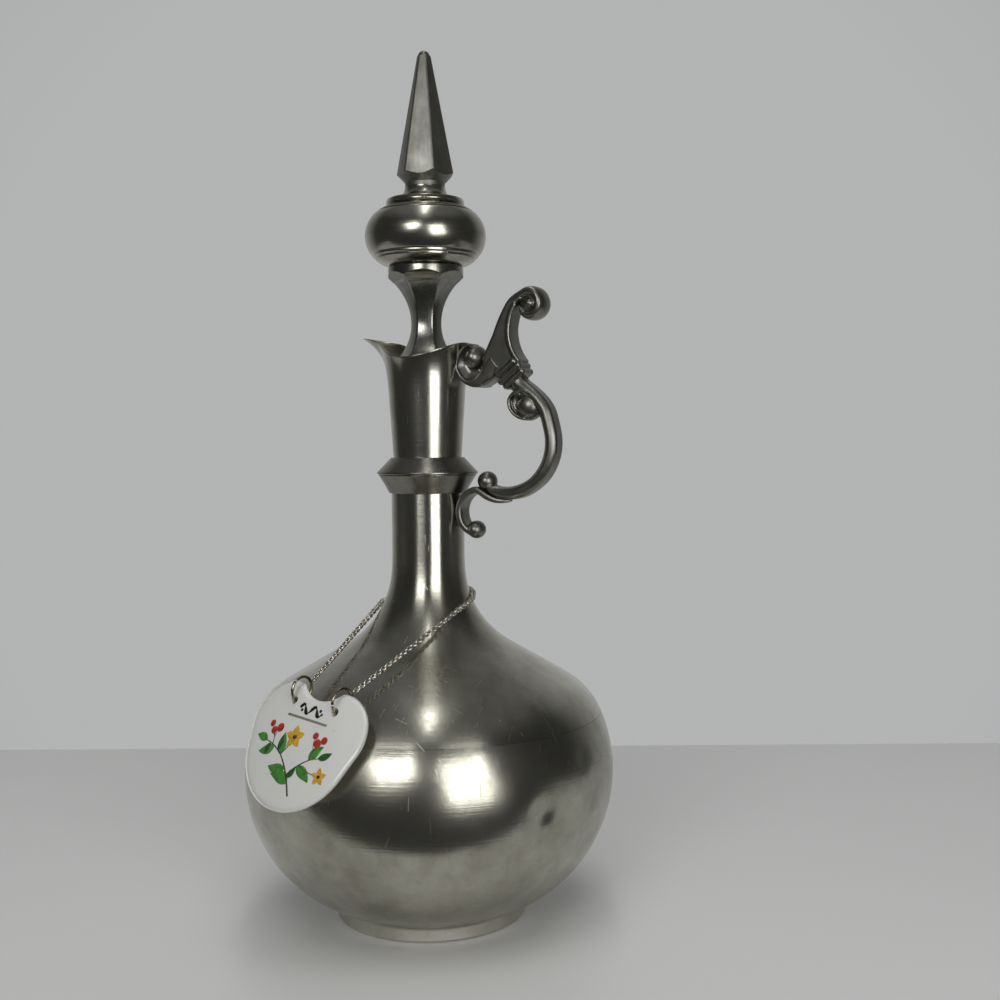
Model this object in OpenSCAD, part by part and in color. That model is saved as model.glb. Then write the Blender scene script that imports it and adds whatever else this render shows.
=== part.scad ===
// Pewter decanter with a tall stopper, a scrolled handle and a label on a neck chain.
// Origin: centre of the underside of the foot. The handle points along +X, the pouring lip along -X.

/* [Body] */
// Radius of the belly at its widest
body_r = 72.8; // [60:0.1:90]
// Height of the widest point above the floor
equator_z = 57.6; // [50:0.1:70]
// Radius of the belly's curve, seen from the side
belly_arc = 56; // [52:0.1:68]
// Angle up from the widest point where the shoulder curve begins
flank_turn = 25; // [18:1:35]
// Radius of the shoulder's curve, seen from the side
shoulder_arc = 27; // [22:0.1:33]
// Steepness of the straight slope above the shoulder
slope_turn = 60; // [55:1:66]
// Radius of the hollow curve that runs into the neck
cove_arc = 36; // [30:0.1:44]
// Angle up from the widest point where the two spun halves are soldered
seam_turn = 24; // [10:1:24]
// Wall of the spun metal
wall = 2; // [1.5:0.1:3]

/* [Foot] */
// Outer radius of the foot ring
foot_r = 37.2; // [31:0.1:45]
// Wall of the foot ring
foot_wall = 2.6; // [2:0.1:3.2]
// Radius of the opening in the bowl that the base plate closes
base_hole_r = 30; // [24:0.1:30.5]
// Thickness of the base plate
base_t = 1.8; // [1.2:0.1:2.4]

/* [Neck] */
// Outer radius of the neck
neck_r = 14.4; // [12:0.1:18]
// Straight neck between the hollow curve and the collar
neck_len = 28.6; // [23:0.1:35]
// Height of the collar
collar_h = 14; // [11:0.1:17]
// Reach of the collar's sharp edge beyond the neck
collar_reach = 5.6; // [4:0.1:7]
// Share of the collar's height that lies below its sharp edge
collar_share = 0.57; // [0.5:0.01:0.62]

/* [Mouth] */
// Step from the neck in to the foot of the mouth
mouth_step = 0.9; // [0.6:0.1:1.2]
// Height of the tapered throat above the collar
throat_h = 22.6; // [18:0.1:28]
// Widening of the throat over its height
throat_flare = 1.45; // [1.2:0.05:1.8]
// Wall of the mouth
mouth_wall = 1.6; // [1.2:0.1:2]
// Height of the rim at its low sides, above the throat
rim_side_h = 16.3; // [13:0.1:20]
// Height of the pouring tip above the throat
rim_tip_h = 24.6; // [20:0.1:30]
// Height of the rim on the handle side, above the throat
rim_back_h = 22; // [18:0.1:27]
// Flare of the rim at its low sides
side_flare = 2; // [1:0.1:4]
// Flare of the rim at the pouring tip
tip_flare = 12.4; // [9:0.1:15]

/* [Handle] */
// Width of the handle castings across the handle's plane
handle_w = 9; // [7:0.1:11]
// Thickness of the rolled strips
strip_t = 2.3; // [1.8:0.1:2.8]
// Outer radius of the volute at the mouth
volute_r = 8; // [6.7:0.1:9.6]
// Height of the volute's centre above the throat
volute_h = 12.6; // [11:0.1:14]
// Radius of the bow, at the middle of its thickness
bow_r = 19.4; // [18:0.1:21]
// Thickness of the bow
bow_t = 5.6; // [4.6:0.1:6.8]
// Radius of the thumb scroll
thumb_r = 6.6; // [5.5:0.1:8]
// Outer radius of the lower scroll at the neck
hook_r = 10; // [8.3:0.1:12]
// Radius of the ball on the lower end of the bow
bow_ball_r = 3.8; // [3.2:0.1:4.4]
// Radius of the ball on the lower scroll
hook_ball_r = 3.5; // [2.9:0.1:4.2]

/* [Stopper] */
// Height of the cork
cork_h = 20; // [16:0.1:24]
// Radius of the peg in the cork
peg_r = 4; // [3.2:0.1:4.8]
// Radius of the stem at its waist, over the corners
waist_r = 6.1; // [5:0.1:7.4]
// Length of the stem above its waist
stem_up = 18.8; // [15.6:0.1:22.6]
// Height of the round band on top of the stem
stem_band_h = 3.6; // [3:0.1:4.4]
// Radius of the round band on top of the stem
stem_band_r = 14.8; // [13:0.1:17]
// Radius of the knop's side curve
knop_arc = 12; // [11:0.1:14]
// Largest radius of the knop
knop_r = 23.8; // [20:0.1:28]
// Radius of the disc on top of the knop
cap_r = 15.5; // [13:0.1:18]
// Radius of the six-sided spire over its corners, at its foot
spire_r = 11.5; // [9.6:0.1:13.8]
// Length of the six-sided spire
spire_len = 47.5; // [39:0.1:57]

/* [Label] */
// Direction of the label round the neck
label_dir = -99; // [-180:1:180]
// Lean of the label from the vertical
label_tilt = 30; // [26:1:36]
// Roll of the label in its own plane
label_roll = 6; // [0:1:8]
// Spacing of the two holes
hole_gap = 21; // [18:0.1:25]
// Radius of each hole
hole_r = 1.5; // [1.4:0.1:1.8]
// Radius of the label's two upper lobes
lobe_r = 14.7; // [12.2:0.1:17.6]
// Radius of the label's rounded point
point_r = 25.3; // [21:0.1:30]
// Thickness of the label at its middle
label_t = 4; // [3.6:0.1:4.6]
// Radius of the jump rings, at the middle of the wire
ring_r = 4.65; // [4.5:0.05:5.4]
// Thickness of the jump ring wire
ring_wire = 1.2; // [1:0.05:1.4]

/* [Clearances] */
// Gap left for solder between fixed pieces
solder_gap = 0.05; // [0.02:0.01:0.1]
// Gap between pieces that move past each other
run_gap = 0.3; // [0.2:0.05:0.6]
// Radial gap of the peg in the cork
peg_gap = 0.06; // [0.03:0.01:0.1]
// Radial gap of the cork in the throat
cork_gap = 0.1; // [0.05:0.01:0.2]

/* [Hidden] */
$fn = 96;

pewter = "#8f8c84";
brass_nickel = "#b7ab8c";
porcelain = "#efeee9";
cork_colour = "#b98f62";

function dir(a) = [cos(a), sin(a)];
function arc(c, r, a0, a1, steps) = [for (i = [0:steps]) c + r * dir(a0 + (a1 - a0) * i / steps)];
function back(pts) = [for (i = [len(pts) - 1:-1:0]) pts[i]];

// Side view of the body: belly and flank share one arc, then shoulder, slope, cove and neck
arc_steps = 14;
belly_c = [body_r - belly_arc, equator_z];
shoulder_c = belly_c + (belly_arc - shoulder_arc) * dir(flank_turn);
slope_foot = shoulder_c + shoulder_arc * dir(slope_turn);
cove_x = neck_r + cove_arc;
slope_len = (slope_foot.x - cove_x + cove_arc * cos(slope_turn)) / sin(slope_turn);
cove_c = [cove_x, slope_foot.y + slope_len * cos(slope_turn) + cove_arc * sin(slope_turn)];

// Heights that stack up the neck
collar_z = cove_c.y + neck_len;
collar_mid = collar_z + collar_h * collar_share;
mouth_z = collar_z + collar_h;
throat_z = mouth_z + throat_h;

// Belly wall from the base opening to the seam, and upper wall from the seam to the collar
function belly_line(inset) =
    let (r = belly_arc - inset) arc(belly_c, r, base_turn, seam_turn, 3 * arc_steps);
base_turn = -acos((base_hole_r - belly_c.x) / belly_arc);
function upper_line(inset) = concat(
    arc(belly_c, belly_arc - inset, seam_turn, flank_turn, 1),
    arc(shoulder_c, shoulder_arc - inset, flank_turn, slope_turn, arc_steps),
    arc(cove_c, cove_arc + inset, 180 + slope_turn, 180, arc_steps),
    [[neck_r - inset, collar_mid]]);

base_z = belly_c.y + belly_arc * sin(base_turn) - solder_gap;

module foot_ring()
    color(pewter) rotate_extrude() difference() {
        translate([foot_r - foot_wall, 0]) square([foot_wall, equator_z / 4]);
        translate(belly_c) circle(r = belly_arc + solder_gap, $fn = 180);
    }

module base_plate()
    color(pewter) translate([0, 0, base_z - base_t])
        cylinder(r = foot_r - foot_wall - solder_gap, h = base_t);

module belly_bowl()
    color(pewter) rotate_extrude()
        polygon(concat(belly_line(0), back(belly_line(wall))));

module shoulder_shell()
    color(pewter) translate([0, 0, solder_gap]) rotate_extrude()
        polygon(concat(upper_line(0), back(upper_line(wall))));

// Neck collar: a ring with a sharp edge, bored to take the neck from below and the mouth from above
mouth_r = neck_r - mouth_step;
collar_lip = 1;
collar_seat = collar_mid + 2 * solder_gap;
module neck_collar()
    color(pewter) rotate_extrude() polygon([
        [neck_r + solder_gap, collar_z], [neck_r + collar_lip, collar_z],
        [neck_r + collar_reach, collar_mid], [mouth_r + collar_lip, mouth_z],
        [mouth_r + solder_gap, mouth_z], [mouth_r + solder_gap, collar_seat], [neck_r + solder_gap, collar_seat]]);

// Mouth: a tapered throat, then a lip that rises and flares towards the tip and the handle
lip_rows = 10;
lip_cols = 72;
lip_curve = 3.4;
tip_sharp = 14;
lip_lift = 0.05;
lip_skin = 0.06;
tongue_len = 1;
tongue_tuck = 0.5;
throat_r = mouth_r + throat_flare;
function towards(a) = max(0, cos(a));
function rim_h(a) = rim_side_h + (rim_tip_h - rim_side_h) * pow(towards(a - 180), 2)
    + (rim_back_h - rim_side_h) * pow(towards(a), 2);
function rim_flare(a) = side_flare + (tip_flare - side_flare) * pow(towards(a - 180), tip_sharp);
function lip_r(a, h) = throat_r + throat_flare * h / throat_h
    + rim_flare(a) * pow(h / rim_h(a), lip_curve);
function lip_ring(row, inset) = [for (i = [0:lip_cols - 1])
    let (a = 360 * i / lip_cols, h = lip_lift + (rim_h(a) - lip_lift) * row / lip_rows, r = lip_r(a, h) - inset)
    [r * cos(a), r * sin(a), throat_z + h]];
function tongue_ring(inset) = [for (i = [0:lip_cols - 1])
    let (p = (throat_r - inset) * dir(360 * i / lip_cols)) [p.x, p.y, throat_z - tongue_len]];
function loop_faces(rings, sides) = [for (k = [0:rings - 1], i = [0:sides - 1])
    let (k2 = (k + 1) % rings, i2 = (i + 1) % sides, a = k * sides + i, b = k2 * sides + i,
         c = k2 * sides + i2, d = k * sides + i2)
    each [[a, b, c], [a, c, d]]];
function flatten(rows) = [for (row = rows) each row];

// The lip stands on a tongue sunk in the throat's wall
module lip_shell() {
    rings = concat([tongue_ring(tongue_tuck)], [for (k = [0:lip_rows]) lip_ring(k, lip_skin)],
                   [for (k = [lip_rows:-1:0]) lip_ring(k, mouth_wall - lip_skin)],
                   [tongue_ring(mouth_wall - tongue_tuck)]);
    polyhedron(points = flatten(rings), faces = loop_faces(len(rings), lip_cols));
}

mouth_foot = collar_seat + 2 * solder_gap;
module mouth_spout() color(pewter) {
    rotate_extrude() polygon([
        [mouth_r, mouth_foot], [mouth_r, mouth_z], [throat_r, throat_z], [throat_r - mouth_wall, throat_z],
        [mouth_r - mouth_wall, mouth_z], [mouth_r - mouth_wall, mouth_foot]]);
    lip_shell();
}

// Handle castings lie in the XZ plane. Strips are bands of circles, cut across and given their width.
volute_z = throat_z + volute_h;
volute_c = [lip_r(0, volute_h) + 2 * solder_gap + volute_r, volute_z];
band_c = volute_c + [14.4, -3.4];
band_turn = -50;
bow_c = volute_c + [11.2, -29.6];
thumb_c = volute_c + [22.6, 22.8];
hook_c = [neck_r + solder_gap + hook_r, collar_z - 7.2];

module across(w) rotate([90, 0, 0]) linear_extrude(height = w, center = true) children();

module band_of_circle(c, r, t, a0, a1) {
    reach = 4 * r;
    steps = ceil(abs(a1 - a0) / 45);
    intersection() {
        translate(c) difference() {
            circle(r = r);
            circle(r = r - t);
        }
        polygon(concat([c], arc(c, reach, a0, a1, steps)));
    }
}

module ball(c, r) translate([c.x, 0, c.y]) sphere(r = r);

// Volute: a strip rolled round an eye ball, with its back against the mouth
eye_r = 3.8;
eye_sink = 0.8;
volute_top = 70;
volute_tail = 352;
module mouth_volute() color(pewter) {
    across(handle_w) band_of_circle(volute_c, volute_r, strip_t, volute_top, volute_tail);
    ball(volute_c + [-eye_sink, volute_r - strip_t - eye_r + eye_sink], eye_r);
}

// Thumb lever: a web that stands on the tied band, hollowed behind, with a rolled scroll at its tip
hollow_r = 17;
hollow_c = volute_c + [31.4, 12.9];
lever_back = [[2.6, 3.6], [6.1, 11.8], [9.9, 18.6], [13.7, 24.6], [17.4, 28.1]];
lever_foot = 5.2;
scroll_step = 0.9;
module lever_outline() {
    foot_near = band_c + band_half * dir(band_turn + 180) + lever_foot * dir(band_turn - 90);
    foot_far = band_c + band_half * dir(band_turn + 180) + lever_foot * dir(band_turn + 90);
    difference() {
        union() {
            polygon(concat([foot_near, volute_c], [for (p = lever_back) volute_c + p], [thumb_c, foot_far]));
            translate(thumb_c) circle(r = thumb_r - scroll_step);
        }
        translate(volute_c) circle(r = volute_r + solder_gap);
        translate(hollow_c) circle(r = hollow_r);
    }
}
module thumb_lever() color(pewter) {
    across(handle_w - 1) lever_outline();
    ball(thumb_c, thumb_r);
}

// Tied band: three beads across the handle
bead_t = 2.6;
bead_groove = 0.4;
band_half = 1.5 * bead_t + solder_gap;
bead_h = 11.4;
bead_round = 1.2;
module bead() {
    intersection() {
        square([bead_t, bead_h], center = true);
        union() {
            square([bead_t, bead_h - 2 * bead_round], center = true);
            for (s = [-1, 1]) translate([0, s * (bead_h / 2 - bead_t / 2)]) circle(r = bead_t / 2);
        }
    }
}
module handle_band() color(pewter) {
    across(handle_w + 1) translate(band_c) rotate(band_turn) {
        for (i = [-1:1]) translate([i * bead_t, 0]) bead();
        square([3 * bead_t, bead_h - 2 * bead_round], center = true);
    }
}

// Bow: a round-backed section swept round the bow's centre, with a volute inside its top and a ball below
bow_start = 70;
bow_end = -114;
bow_dome = 5;
bow_bevel = 1.1;
inner_volute_r = 5.7;
inner_volute_turn = 62;
inner_volute_sink = 0.5;
root_half = 4.4;
root_inset = 0.8;
root_back = [[14.4, 19.4], [18, 13.6], [19.4, 8]];
ball_turn = -120;
module bow_section() {
    half = handle_w / 2;
    inner = bow_r - bow_t / 2;
    intersection() {
        translate([bow_r + bow_t / 2 - bow_dome, 0]) circle(r = bow_dome);
        polygon([[inner, half - bow_bevel], [inner + bow_bevel, half], [inner + bow_t, half],
                 [inner + bow_t, -half], [inner + bow_bevel, -half], [inner, bow_bevel - half]]);
    }
}
module handle_bow() color(pewter) {
    inner_c = bow_c + (bow_r - bow_t / 2 - inner_volute_sink) * dir(inner_volute_turn);
    root = band_c + (band_half + solder_gap) * dir(band_turn);
    translate([bow_c.x, 0, bow_c.y]) rotate([90, 0, 0]) rotate([0, 0, bow_end])
        rotate_extrude(angle = bow_start - bow_end) bow_section();
    across(handle_w - 2 * root_inset) polygon(concat(
        [root + root_half * dir(band_turn - 90), root + root_half * dir(band_turn + 90)],
        [for (p = root_back) bow_c + p], [inner_c]));
    across(handle_w - root_inset) translate(inner_c) circle(r = inner_volute_r);
    ball(bow_c + (bow_r - bow_t / 2 + inner_volute_sink) * dir(ball_turn), bow_ball_r);
}

// Lower scroll: a hook against the neck whose tail lies under the bow, with a ball in the hook
hook_top = 104;
hook_tip = 262;
hook_ball_turn = 245;
tail_from = -128;
tail_to = -95;
module lower_scroll() color(pewter) {
    tail_r = bow_r + bow_t / 2 + solder_gap + strip_t;
    across(handle_w - root_inset) {
        band_of_circle(hook_c, hook_r, strip_t, hook_top, hook_tip);
        band_of_circle(bow_c, tail_r, strip_t, tail_from, tail_to);
    }
    ball(hook_c + (hook_r - strip_t) * dir(hook_ball_turn), hook_ball_r);
}

// Stopper, from the cork up
cork_z = mouth_z + 6;
cork_top = cork_z + cork_h;
stem_foot = cork_top + run_gap;
join = 0.4;
skirt_h = 12.8;
skirt_r = 10.4;
stem_low = 13.4;
waist_z = stem_foot + skirt_h + stem_low;
stem_top = waist_z + stem_up;
knop_foot = stem_top + stem_band_h + solder_gap;
function throat_in(z) = mouth_r + throat_flare * (z - mouth_z) / throat_h - mouth_wall;

peg_len = cork_h - 4;
module stopper_cork()
    color(cork_colour) difference() {
        translate([0, 0, cork_z])
            cylinder(r1 = throat_in(cork_z) - cork_gap, r2 = throat_in(cork_top) - cork_gap, h = cork_h);
        translate([0, 0, cork_top - peg_len - run_gap]) cylinder(r = peg_r + peg_gap, h = cork_h);
    }

// Six-sided solids: three slabs with the same side view, crossed
corner_turn_stem = 25;
corner_turn_spire = 17;
to_flat = cos(30);
module six_sided(corner_turn, span)
    intersection_for (i = [0:2])
        rotate([0, 0, corner_turn + 30 + 60 * i]) rotate([90, 0, 0])
            linear_extrude(height = span, center = true) children();

// Side view of half the stem: an arc below the waist and an arc above it, up to the band
low_arc = 21;
up_reach = 8.3;
up_arc = (stem_up * stem_up + up_reach * up_reach) / (2 * up_reach);
module stem_side() {
    low_turn = asin(stem_low / low_arc);
    up_turn = asin(stem_up / up_arc);
    low_c = [waist_r * to_flat + low_arc, waist_z];
    up_c = [waist_r * to_flat + up_arc, waist_z];
    side = concat(arc(low_c, low_arc, 180 + low_turn, 180, arc_steps),
                  arc(up_c, up_arc, 180, 180 - up_turn, arc_steps));
    polygon(concat(side, back([for (p = side) [-p.x, p.y]])));
}
module stopper_stem() color(pewter) {
    span = 4 * stem_band_r;
    intersection() {
        six_sided(corner_turn_stem, span) stem_side();
        translate([0, 0, stem_foot]) cylinder(r = stem_band_r - join, h = stem_top);
    }
    translate([0, 0, stem_top - join]) cylinder(r = stem_band_r, h = stem_band_h + join);
    translate([0, 0, stem_foot]) cylinder(r = skirt_r, h = skirt_h + join);
    translate([0, 0, cork_top - peg_len]) cylinder(r = peg_r, h = peg_len + skirt_h);
}

// Knop: two hollow cups soldered at the widest line, with incised lines near the top and the bottom
knop_foot_r = 14.2;
knop_top_r = 14.5;
knop_wall = 1.8;
groove_r = 0.4;
knop_x = knop_r - knop_arc;
knop_low_turn = acos((knop_foot_r - knop_x) / knop_arc);
knop_up_turn = acos((knop_top_r - knop_x) / knop_arc);
knop_z = knop_foot + knop_arc * sin(knop_low_turn);
knop_top = knop_z + knop_arc * sin(knop_up_turn);
module knop_lines(turns)
    rotate_extrude() for (a = turns) translate([knop_x, knop_z] + knop_arc * dir(a)) circle(r = groove_r, $fn = 24);

module knop_lower() color(pewter) difference() {
    outer = arc([knop_x, knop_z], knop_arc, -knop_low_turn, 0, arc_steps);
    inner = arc([knop_x, knop_z], knop_arc - knop_wall, 0, -knop_low_turn + 8, arc_steps);
    rotate_extrude() polygon(concat([[0, knop_foot]], outer, inner, [[0, inner[arc_steps].y]]));
    knop_lines([-46, -38]);
}

module knop_upper() color(pewter) translate([0, 0, solder_gap]) difference() {
    outer = arc([knop_x, knop_z], knop_arc, 0, knop_up_turn, arc_steps);
    inner = arc([knop_x, knop_z], knop_arc - knop_wall, knop_up_turn - 8, 0, arc_steps);
    rotate_extrude() polygon(concat(outer, [[0, knop_top], [0, inner[0].y]], inner));
    knop_lines([51, 59]);
}

// Cap: a disc with a rounded edge that sweeps in to the neck of the spire
cap_z = knop_top + 2 * solder_gap;
cap_t = 2.4;
cap_cove = 5;
cap_rim = 3;
spire_neck_r = 7.8;
module knop_cap()
    color(pewter) rotate_extrude() difference() {
        union() {
            translate([0, cap_z]) square([cap_r - cap_t / 2, cap_t]);
            translate([cap_r - cap_t / 2, cap_z + cap_t / 2]) circle(r = cap_t / 2);
            translate([0, cap_z]) square([cap_r - cap_rim + 0.6, cap_t + cap_cove]);
        }
        translate([spire_neck_r + cap_cove, cap_z + cap_t + cap_cove]) circle(r = cap_cove);
        translate([spire_neck_r + cap_cove, cap_z + cap_t]) square([cap_r, 2 * cap_cove]);
        translate([-cap_r, cap_z - cap_t]) square([cap_r, 4 * cap_cove]);
    }

// Spire: a six-sided point, turned to a cone underneath and rounded at its tip
spire_z = cap_z + cap_t + cap_cove + solder_gap;
spire_neck_h = 1.5;
spire_under = 4;
spire_tip_r = 2.3;
spire_round = 2;
spire_nose = 12;
module stopper_spire() color(pewter) {
    foot = spire_z + spire_neck_h;
    tip = foot + spire_under + spire_len;
    flat = spire_r * to_flat;
    wide = 2 * spire_r;
    intersection() {
        six_sided(corner_turn_spire, 2 * wide) polygon([
            [-flat, spire_z - join], [flat, spire_z - join], [flat, foot + spire_under],
            [spire_tip_r * to_flat, tip + join], [-spire_tip_r * to_flat, tip + join],
            [-flat, foot + spire_under]]);
        rotate_extrude() polygon(concat(
            [[0, spire_z], [spire_neck_r, spire_z], [spire_neck_r, foot]],
            [[wide, foot + spire_under * (wide - spire_neck_r) / (spire_r - spire_neck_r)]],
            [[spire_round + spire_nose, tip - spire_nose]],
            arc([spire_round / 4, tip - spire_round], spire_round, 0, 90, 8), [[0, tip]]));
    }
}

// Label: everything is placed in a frame whose X axis points along label_dir.
// The plate's own frame has X to the right, Y up its slope and Z outwards, with its origin midway between the holes.
label_gap = 0.5;
contact = label_tilt > flank_turn ? shoulder_c + (shoulder_arc + label_gap) * dir(label_tilt)
                                  : belly_c + (belly_arc + label_gap) * dir(label_tilt);
hole_up = 8.8;
label_mid = contact + label_t / 2 * dir(label_tilt) + hole_up * dir(label_tilt + 90);
module in_label_frame() rotate([0, 0, label_dir]) children();
module in_plate_frame()
    in_label_frame() translate([label_mid.x, 0, label_mid.y]) rotate([0, -label_tilt, 0])
        rotate([90, 0, 90]) rotate([0, 0, -label_roll]) children();

// Outline of the plate: a rounded point and two lobes, joined by tangents, with a hollow between the lobes
lobe_x = 13;
lobe_drop = 7.3;
point_drop = 13.4;
notch_r = 12.8;
notch_depth = 4.9;
module label_outline() {
    lobe_c = [lobe_x, -lobe_drop];
    point_c = [0, -point_drop];
    span = norm(lobe_c - point_c);
    tangent = atan2(lobe_c.y - point_c.y, lobe_c.x) - acos((point_r - lobe_r) / span);
    right = concat(arc(point_c, point_r, -90, tangent, arc_steps), arc(lobe_c, lobe_r, tangent, 90, arc_steps));
    difference() {
        polygon(concat(right, back([for (p = right) [-p.x, p.y]])));
        translate([0, lobe_r - lobe_drop - notch_depth + notch_r]) circle(r = notch_r);
    }
}

dome_r = 170;
module label_plate()
    color(porcelain) in_plate_frame() difference() {
        intersection() {
            translate([0, 0, -label_t / 2]) linear_extrude(height = label_t) label_outline();
            translate([0, -lobe_x, label_t / 2 - dome_r]) sphere(r = dome_r, $fn = 180);
        }
        for (s = [-1, 1]) translate([s * hole_gap / 2, 0, -label_t]) cylinder(r = hole_r, h = 2 * label_t, $fn = 32);
    }

module label_rings()
    color(brass_nickel) in_plate_frame() for (s = [-1, 1])
        translate([s * hole_gap / 2, ring_r, 0]) rotate([0, 90, 0])
            rotate_extrude($fn = 48) translate([ring_r, 0]) circle(r = ring_wire / 2, $fn = 24);

// Chain: a tube in the label's frame (out, right, up), straight from each ring to a loop behind the neck
chain_d = 2;
chain_sides = 8;
run_steps = 10;
loop_steps = 12;
loop_side = neck_r + 5.6;
loop_back = neck_r + 3.3;
loop_out = 5;
loop_z = cove_c.y - 15.4;
loop_rise = 5.4;
chain_left = [label_mid.x - 8.4, 0.3 - hole_gap / 2, label_mid.y + 7];
chain_right = [label_mid.x - 7.3, 0.6 + hole_gap / 2, label_mid.y + 5.1];
function loop_point(a) =
    [loop_out - (loop_out + loop_back) * sin(a), -loop_side * cos(a), loop_z + loop_rise * sin(a)];
chain_route = concat(
    [for (i = [0:run_steps - 1]) chain_left + (loop_point(0) - chain_left) * i / run_steps],
    [for (i = [0:loop_steps]) loop_point(180 * i / loop_steps)],
    [for (i = [1:run_steps]) loop_point(180) + (chain_right - loop_point(180)) * i / run_steps]);
function along(pts, i) = let (d = pts[min(i + 1, len(pts) - 1)] - pts[max(i - 1, 0)]) d / norm(d);
function side_of(t) = let (s = cross(t, [0, 0, 1])) s / norm(s);
function tube_ring(pts, i, r) = let (t = along(pts, i), s = side_of(t), u = cross(s, t))
    [for (k = [0:chain_sides - 1]) pts[i] + r * (s * cos(360 * k / chain_sides) + u * sin(360 * k / chain_sides))];
module label_chain() color(brass_nickel) in_label_frame() {
    count = len(chain_route);
    rings = [for (i = [0:count - 1]) tube_ring(chain_route, i, chain_d / 2)];
    walls = [for (k = [0:count - 2], i = [0:chain_sides - 1])
        let (i2 = (i + 1) % chain_sides, a = k * chain_sides + i, b = (k + 1) * chain_sides + i,
             c = (k + 1) * chain_sides + i2, d = k * chain_sides + i2)
        each [[a, b, c], [a, c, d]]];
    first = [[for (i = [0:chain_sides - 1]) i]];
    last = [[for (i = [chain_sides - 1:-1:0]) (count - 1) * chain_sides + i]];
    polyhedron(points = flatten(rings), faces = concat(walls, first, last));
}

foot_ring();
base_plate();
belly_bowl();
shoulder_shell();
neck_collar();
mouth_spout();
mouth_volute();
thumb_lever();
handle_band();
handle_bow();
lower_scroll();
stopper_cork();
stopper_stem();
knop_lower();
knop_upper();
knop_cap();
stopper_spire();
label_chain();
label_rings();
label_plate();
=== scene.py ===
import math
import bmesh
import bpy
from mathutils import Matrix, Vector, noise


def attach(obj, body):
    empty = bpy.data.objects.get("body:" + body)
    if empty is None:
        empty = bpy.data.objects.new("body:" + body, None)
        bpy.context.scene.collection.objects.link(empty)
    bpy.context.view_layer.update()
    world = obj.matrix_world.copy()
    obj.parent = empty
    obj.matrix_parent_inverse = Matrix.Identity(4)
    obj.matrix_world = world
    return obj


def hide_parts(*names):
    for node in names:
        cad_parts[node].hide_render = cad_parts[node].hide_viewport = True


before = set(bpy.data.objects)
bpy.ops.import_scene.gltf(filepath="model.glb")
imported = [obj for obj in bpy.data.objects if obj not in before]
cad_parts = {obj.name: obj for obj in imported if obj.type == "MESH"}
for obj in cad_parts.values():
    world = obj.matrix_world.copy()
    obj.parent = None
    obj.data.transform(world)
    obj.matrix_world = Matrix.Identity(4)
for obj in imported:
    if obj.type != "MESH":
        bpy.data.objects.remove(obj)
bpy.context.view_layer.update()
scene = bpy.context.scene
mm = 0.001
tiny = 1e-7                       # merge distance, far below any edge
bpy.ops.object.select_all(action="DESELECT")


def turned(degrees, axis):
    return Matrix.Rotation(math.radians(degrees), 4, axis)


# camera at the photograph's viewing angle
cameraSet = {"lens": 45.36, "sensor": 36, "place": (252.55, -432.65, 185.70), "heading": 27, "pitch": 87.5,
             "roll": -0.4}
lens = bpy.data.cameras.new("camera")
lens.lens = cameraSet["lens"]
lens.sensor_width = cameraSet["sensor"]
camera = bpy.data.objects.new("camera", lens)
scene.collection.objects.link(camera)
camera.matrix_world = (Matrix.Translation(Vector(cameraSet["place"]) * mm) @ turned(cameraSet["heading"], "Z")
                       @ turned(cameraSet["pitch"], "X") @ turned(cameraSet["roll"], "Z"))
scene.camera = camera
scene.view_settings.view_transform = "Standard"
print("camera set")

# the label's own frame: X right, Y up its slope, Z outwards, origin midway between the holes
labelSet = {"direction": -99, "tilt": 30, "roll": 6, "middle": (64.231, 0, 92.227), "holeGap": 21,
            "holeRadius": 1.5, "thickness": 4, "domeRadius": 170, "domeDrop": 13}
plateFrame = (turned(labelSet["direction"], "Z") @ Matrix.Translation(Vector(labelSet["middle"]))
              @ turned(-labelSet["tilt"], "Y") @ turned(90, "Z") @ turned(90, "X")
              @ turned(-labelSet["roll"], "Z"))
toPlate = Matrix.Scale(mm, 4) @ plateFrame          # plate millimetres to metres in the part's frame

# route of the neck chain, as in the part's source: straight from each ring to a loose loop behind the neck
chainSet = {"long": 2.9, "wide": 2.36, "wire": 0.7, "pitch": 1.36, "lean": 45, "sway": 3,
            "runSteps": 10, "loopSteps": 12, "loopSide": 20, "loopBack": 17.7, "loopOut": 5,
            "loopHeight": 122.978, "loopRise": 5.4, "left": (-8.4, -10.2, 7), "right": (-7.3, 11.1, 5.1)}


def loopSpot(turn):
    back, across = math.sin(math.radians(turn)), math.cos(math.radians(turn))
    return Vector((chainSet["loopOut"] - (chainSet["loopOut"] + chainSet["loopBack"]) * back,
                   -chainSet["loopSide"] * across, chainSet["loopHeight"] + chainSet["loopRise"] * back))


def chainLine():
    left, right = (Vector(labelSet["middle"]) + Vector(chainSet[end]) for end in ("left", "right"))
    runs, turns = chainSet["runSteps"], chainSet["loopSteps"]
    spots = [left.lerp(loopSpot(0), i / runs) for i in range(runs)]
    spots += [loopSpot(180 * i / turns) for i in range(turns + 1)]
    spots += [loopSpot(180).lerp(right, i / runs) for i in range(1, runs + 1)]
    return [tuple(turned(labelSet["direction"], "Z") @ spot * mm) for spot in spots]


chainRoute = chainLine()


# colours are sRGB hex, nodes want linear
def hexColour(code):
    parts = [int(code[i:i + 2], 16) / 255 for i in (1, 3, 5)]
    return tuple(c / 12.92 if c <= 0.04045 else ((c + 0.055) / 1.055) ** 2.4 for c in parts) + (1,)


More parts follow.
